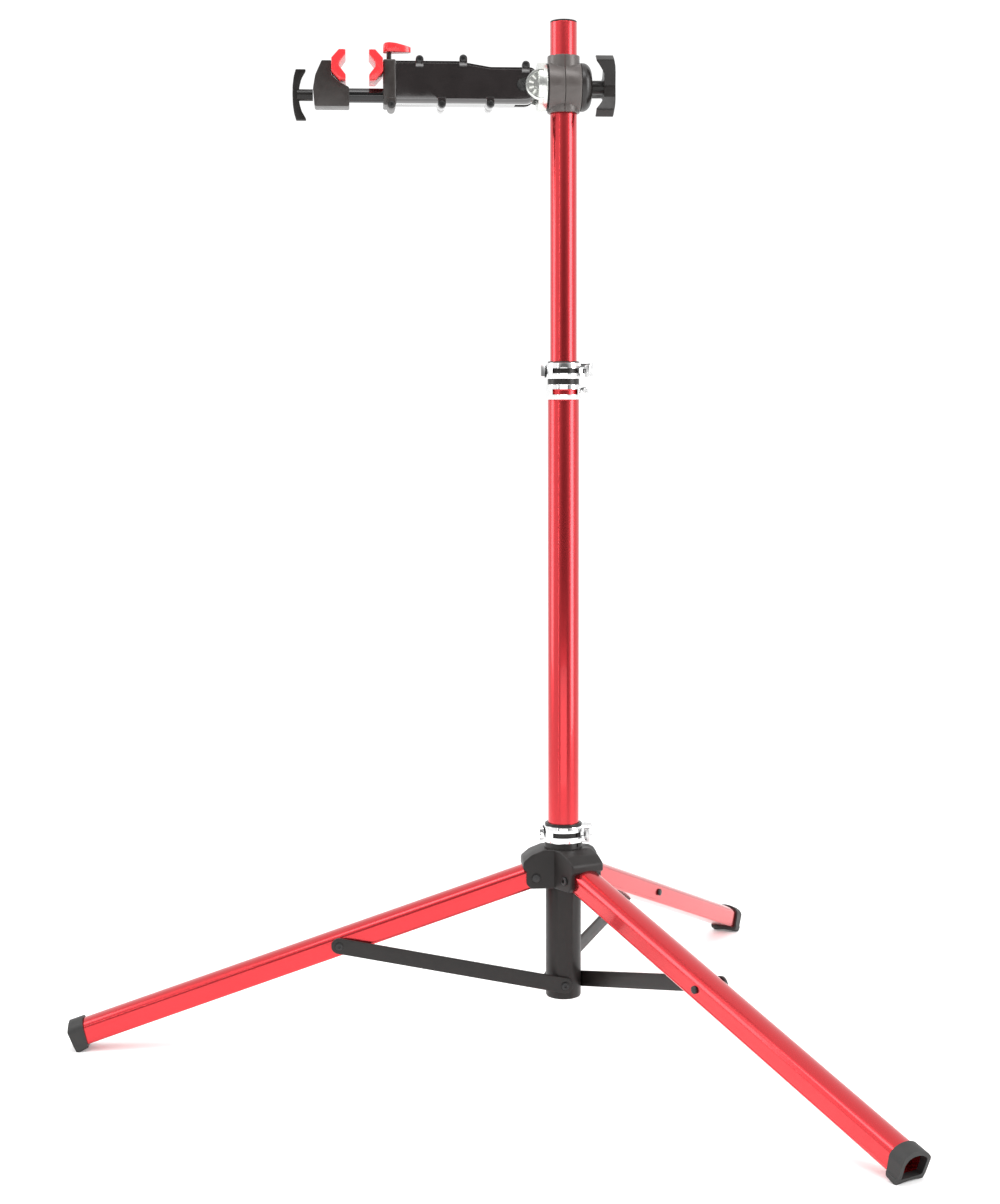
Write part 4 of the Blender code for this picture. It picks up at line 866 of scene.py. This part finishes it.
LUGS = ((-187.7, 35.6, 1), (-131.6, 36.9, 1), (-51.0, 29.7, 1), (-159.4, -31.4, -1), (-96.8, -30.6, -1))
LUG_HALF = 5.2


def lug_outline(x, z, way):
    """Side view of a screw lug: round at its tip, with a straight root sunk in the body."""
    outline = [(x + LUG_HALF, z - way * 9), (x + LUG_HALF - 0.02, z)]
    for step in range(1, 16):
        a = pi * step / 16
        outline.append((x + LUG_HALF * cos(a), z + way * LUG_HALF * sin(a)))
    return outline + [(x - LUG_HALF + 0.02, z), (x - LUG_HALF, z - way * 9)]


def clamp_half(side):
    """One half of the clamp body: a stepped shoulder along its top and a chamfer round its side face."""
    outline = rounded(at_head([(REAR, -24.0, 14.5), (FRONT - 12, -24.0, 0), (FRONT - 12, 30.3, 0),
                               (-138.2, 30.3, 30), (-96.2, 23.2, 40), (REAR, 23.2, 8)]), 10)
    face_y = side * 17.0
    ends = sorted((side * 0.15, face_y))
    shape = plate(outline, "Y", *ends)
    pick(shape)
    bpy.ops.object.mode_set(mode="EDIT")
    bpy.ops.mesh.select_all(action="DESELECT")
    bpy.ops.object.mode_set(mode="OBJECT")
    for face in shape.data.polygons:
        face.select = abs(face.center.y - face_y * MM) < 1e-6
    bpy.ops.object.mode_set(mode="EDIT")
    for inward, out in ((1.6, 3.4), (1.2, 0.9), (1.2, 0.5), (1.2, 0.2)):
        bpy.ops.mesh.inset(thickness=inward * MM, depth=out * MM)
    closed_up()
    step = rounded(at_head([(REAR + 20, 19.1, 0), (-96.2, 19.1, 40), (-138.2, 26.2, 30),
                            (FRONT - 20, 26.2, 0), (FRONT - 20, 60, 0), (REAR + 20, 60, 0)]), 10)
    ends = sorted((side * 13.0, side * 40.0))
    carve(shape, plate(step, "Y", *ends))
    eased(shape, 1.5, 4, 40)
    carve(shape, block((FRONT - 40, -60, HEAD - 60), (FRONT, 60, HEAD + 60)))
    for x, tip, way in LUGS:
        z = HEAD + tip - way * LUG_HALF
        ends = sorted((side * 0.4, side * 25.0))
        join(shape, eased(plate(lug_outline(x, z, way), "Y", *ends), 0.7, 3))
        drill(shape, SCREW_BORE, -40, 40, "Y", (x, z), 32)
    carve(shape, block((FOLD_X - 9.6, -8.0, HEAD - 60), (0, 8.0, HEAD + 9.6)))
    drill(shape, 4.3, -40, 40, "Y", (FOLD_X, HEAD), 48)
    carve(shape, turned([(8.5, side * 17.7), (8.5, side * 21.3), (9.4, side * 22.4), (9.4, side * 40)], "Y",
                        (FOLD_X, HEAD), 96))
    drill(shape, SHAFT_R + GAP, -300, -122, "X", (0, SHAFT_Z), 96)
    return shape


def lug_screw(head, at):
    """Screw through both halves of a lug, with its nut behind."""
    bolt = screw(2.5, -25.3, -27.2, 25.6, head, at)
    return join(bolt, turned([(head, 25.3), (head, 26.9), (head - 0.4, 27.4)], "Y", at, 6))


def clamp_body():
    """Two halves with their five screws, the nose collar, the fixed pad and the release lever's stem."""
    for name, side in (("clamp_front_half", -1), ("clamp_back_half", 1)):
        dress(clamp_half(side), "fine_" + name, "clamp", "gloss_black", angle=24)
    for number, (x, tip, way) in enumerate(LUGS, 1):
        at = (x, HEAD + tip - way * LUG_HALF)
        dress(lug_screw(4.2, at), "fine_lug_screw_%d" % number, "clamp", "black_steel")
    nose = eased(block((NOSE, -23.5, HEAD - 27.2), (FRONT - GAP, 23.5, HEAD + 30.6)), 2.2, 4, 40)
    at = (-224.0, HEAD - 26.8)
    join(nose, eased(plate(lug_outline(at[0], at[1], -1), "Y", -25, 25), 0.7, 3))
    drill(nose, SHAFT_R + GAP, -300, -200, "X", (0, SHAFT_Z), 96)
    drill(nose, SCREW_BORE, -40, 40, "Y", at, 32)
    drill(nose, 3.5, HEAD + 24, HEAD + 60, "Z", (RELEASE_X, 0), 48)
    dress(nose, "fine_nose_collar", "clamp", "nose")
    dress(lug_screw(4.0, at), "fine_nose_screw", "clamp", "black_steel")
    dress(pad(-234.6, -252.4), "fine_rear_pad", "clamp", "red_plastic")
    stem = turned([(3.2, HEAD + 24.3), (3.2, PIN_Z)], "Z", (RELEASE_X, 0), 48)
    join(stem, turned([(3.2, -3.2), (3.2, 3.2)], "Y", (RELEASE_X, PIN_Z), 48))
    join(stem, turned([(1.4, -9.5), (1.6, -9.3), (1.6, 9.3), (1.4, 9.5)], "Y", (RELEASE_X, PIN_Z), 32))
    dress(stem, "fine_release_stem", "clamp", "dark_steel")


def pad(back, lip):
    """Half-octagon jaw pad with a rounded V-notch, across the arm."""
    way = 1 if lip > back else -1
    corners = [(back, -8.0, 2), (back + way * 9.8, -PAD_TIP, 2), (lip, -PAD_TIP, 1.2), (lip, -13.0, 3),
               (lip - way * 8.0, -2.6, 2.5), (lip - way * 8.0, 2.6, 2.5), (lip, 13.0, 3), (lip, PAD_TIP, 1.2),
               (back + way * 9.8, PAD_TIP, 2), (back, 8.0, 2)]
    outline = rounded([(x, PAD_Z + dz, r) for x, dz, r in corners], 5)
    return eased(plate(outline, "Y", -PAD_HALF, PAD_HALF), 0.9, 3, 50)


def jaw():
    """Sliding jaw with its pad and shaft, and the T-handle that turns at its end."""
    side = rounded(at_head([
        (-278.0, -28.6, 2), (-278.0, -4.5, 3), (-283.3, -1.6, 1), (-291.8, 2.4, 0),
        (-300.9, 11.2, 0), (-300.9, 29.2, 1), (-313.0, 29.2, 2), (-321.4, 11.0, 20),
        (-324.5, -6.0, 20), (-322.7, -28.6, 2.5)]), 8)
    shape = eased(plate(side, "Y", -18, 18), 1.6, 4, 50)
    drill(shape, SHAFT_R + GAP, -284.8, -200, "X", (0, SHAFT_Z), 96)
    dress(shape, "fine_front_jaw", "jaw", "nose")
    dress(pad(-300.6, -282.4), "fine_front_pad", "jaw", "red_plastic")
    shaft = turned([(SHAFT_R, -284.5), (SHAFT_R, -158.8), (SHAFT_R - 0.8, -158.0)], "X", (0, SHAFT_Z))
    dress(shaft, "fine_slide_shaft", "jaw", "shaft")
    handle = turned([(7.5, -324.9), (7.5, -345.0)], "X", (0, SHAFT_Z), 64)
    half = [(-351.1, 0.0, 30), (-350.8, 12.0, 30), (-349.3, 23.0, 30), (-346.6, 32.4, 1.5),
            (-333.4, 32.4, 1.2), (-334.4, 29.2, 4), (-339.3, 21.0, 20), (-341.5, 13.0, 20), (-342.8, 6.0, 0)]
    wings = half + [(x, -dz, r) for x, dz, r in reversed(half[1:])]
    wings = rounded([(x, SHAFT_Z + dz, r) for x, dz, r in wings], 6)
    join(handle, eased(plate(wings, "Y", -4.8, 4.8), 1.2, 3, 50))
    dress(handle, "fine_t_handle", "t_handle", "black_plastic", angle=40)


def release():
    """Release lever: a low rounded shell on the stem's cross pin."""
    z = HEAD + 42.4
    side = [(-234.0, 0.0, 1), (-198.5, 0.0, 0.5), (-198.5, 6.4, 1), (-217.5, 10.8, 60), (-227.0, 11.6, 24),
            (-233.8, 10.4, 3.2)]
    shape = plate(rounded([(x, z + h, r) for x, h, r in side], 10), "Y", -11, 11)
    plan = [(-198.5, -2.6), (-201.5, -6.0), (-208.5, -8.2), (-217.5, -10.0), (-225.5, -10.9), (-229.5, -10.4),
            (-232.6, -8.6), (-234.0, -6.0)]
    plan += [(x, -y) for x, y in reversed(plan)]
    common(shape, plate(plan, "Z", HEAD + 30, HEAD + 70))
    eased(shape, 2.4, 5, 50)
    carve(shape, block((-246, -3.6, z - 5), (-222.4, 3.6, HEAD + 50.2)))
    drill(shape, 1.9, -9.8, 9.8, "Y", (RELEASE_X, PIN_Z), 32)
    dress(shape, "fine_release_lever", "release_lever", "red_plastic", angle=40)


# Studio

def floor():
    """Pale floor with a faint sheen."""
    deselect()
    bpy.ops.mesh.primitive_plane_add(size=60.0, location=(0, 0, 0))
    obj = bpy.context.object
    obj.name = "studio_floor"
    material = bpy.data.materials.new("pale_floor")
    material.use_nodes = True
    tree = material.node_tree
    shader = tree.nodes["Principled BSDF"]
    place = tree.nodes.new("ShaderNodeTexCoord").outputs["Object"]
    cloud = noise(tree, place, 0.6, 3.0)
    tint = blended(tree, cloud, (0.97, 0.97, 0.97, 1), (0.99, 0.99, 0.99, 1))
    tree.links.new(tint, shader.inputs["Base Color"])
    tree.links.new(ranged(tree, cloud, 0.3, 0.7, 0.50, 0.56), shader.inputs["Roughness"])
    shader.inputs["Specular IOR Level"].default_value = 0.12
    shader.inputs["Emission Strength"].default_value = 0.12
    obj.data.materials.append(material)


def area_light(name, at, aim, size, power):
    """White rectangular light at a place, turned to face a point."""
    data = bpy.data.lights.new(name, "AREA")
    data.shape = "RECTANGLE"
    data.size, data.size_y = size
    data.energy = power
    obj = bpy.data.objects.new(name, data)
    bpy.context.scene.collection.objects.link(obj)
    obj.location = at
    obj.rotation_euler = (Vector(aim) - Vector(at)).to_track_quat("-Z", "Y").to_euler()


def studio():
    """White surround that darkens behind the camera, with soft boxes, a thin strip and a low panel."""
    world = bpy.data.worlds.new("white_studio")
    world.use_nodes = True
    tree = world.node_tree
    back = tree.nodes["Background"]
    place = tree.nodes.new("ShaderNodeTexCoord").outputs["Generated"]
    parts = tree.nodes.new("ShaderNodeSeparateXYZ")
    tree.links.new(place, parts.inputs[0])
    share = ranged(tree, parts.outputs["Y"], -0.93, -0.58, 0.0, 1.0)
    tree.links.new(blended(tree, share, (0.14, 0.14, 0.14, 1), (1.0, 1.0, 1.0, 1)), back.inputs["Color"])
    back.inputs["Strength"].default_value = 1.1
    bpy.context.scene.world = world
    bpy.context.scene.view_settings.view_transform = "Standard"
    area_light("soft_box_left", (-2.8, 0.3, 1.9), (0, 0, 0.8), (1.2, 2.6), 32)
    area_light("soft_box_right", (2.5, -1.3, 1.7), (0, 0, 0.8), (1.2, 2.6), 52)
    area_light("strip_left", (-1.98, -2.2, 1.5), (0, 0, 0.8), (0.08, 2.6), 3.6)
    area_light("panel_low", (-0.4, -5.6, 0.75), (0, 0, 0.30), (5.0, 1.0), 30)
    area_light("soft_box_over", (-0.4, -0.9, 3.3), (0, 0, 1.0), (3.0, 1.0), 38)


def camera():
    """Camera a little above the stand's middle, looking slightly down."""
    data = bpy.data.cameras.new("camera")
    data.sensor_width = 36
    data.lens = 62.2
    obj = bpy.data.objects.new("camera", data)
    bpy.context.scene.collection.objects.link(obj)
    obj.location = (-0.2767, -2.7424, 0.840)
    obj.rotation_euler = (radians(84.844), radians(0.15), radians(-4.022))
    bpy.context.scene.camera = obj


column()
collar()
hub()
tripod()
barrel()
knob()
knuckle()
clamp_body()
jaw()
release()
floor()
studio()
camera()

bpy.context.view_layer.update()
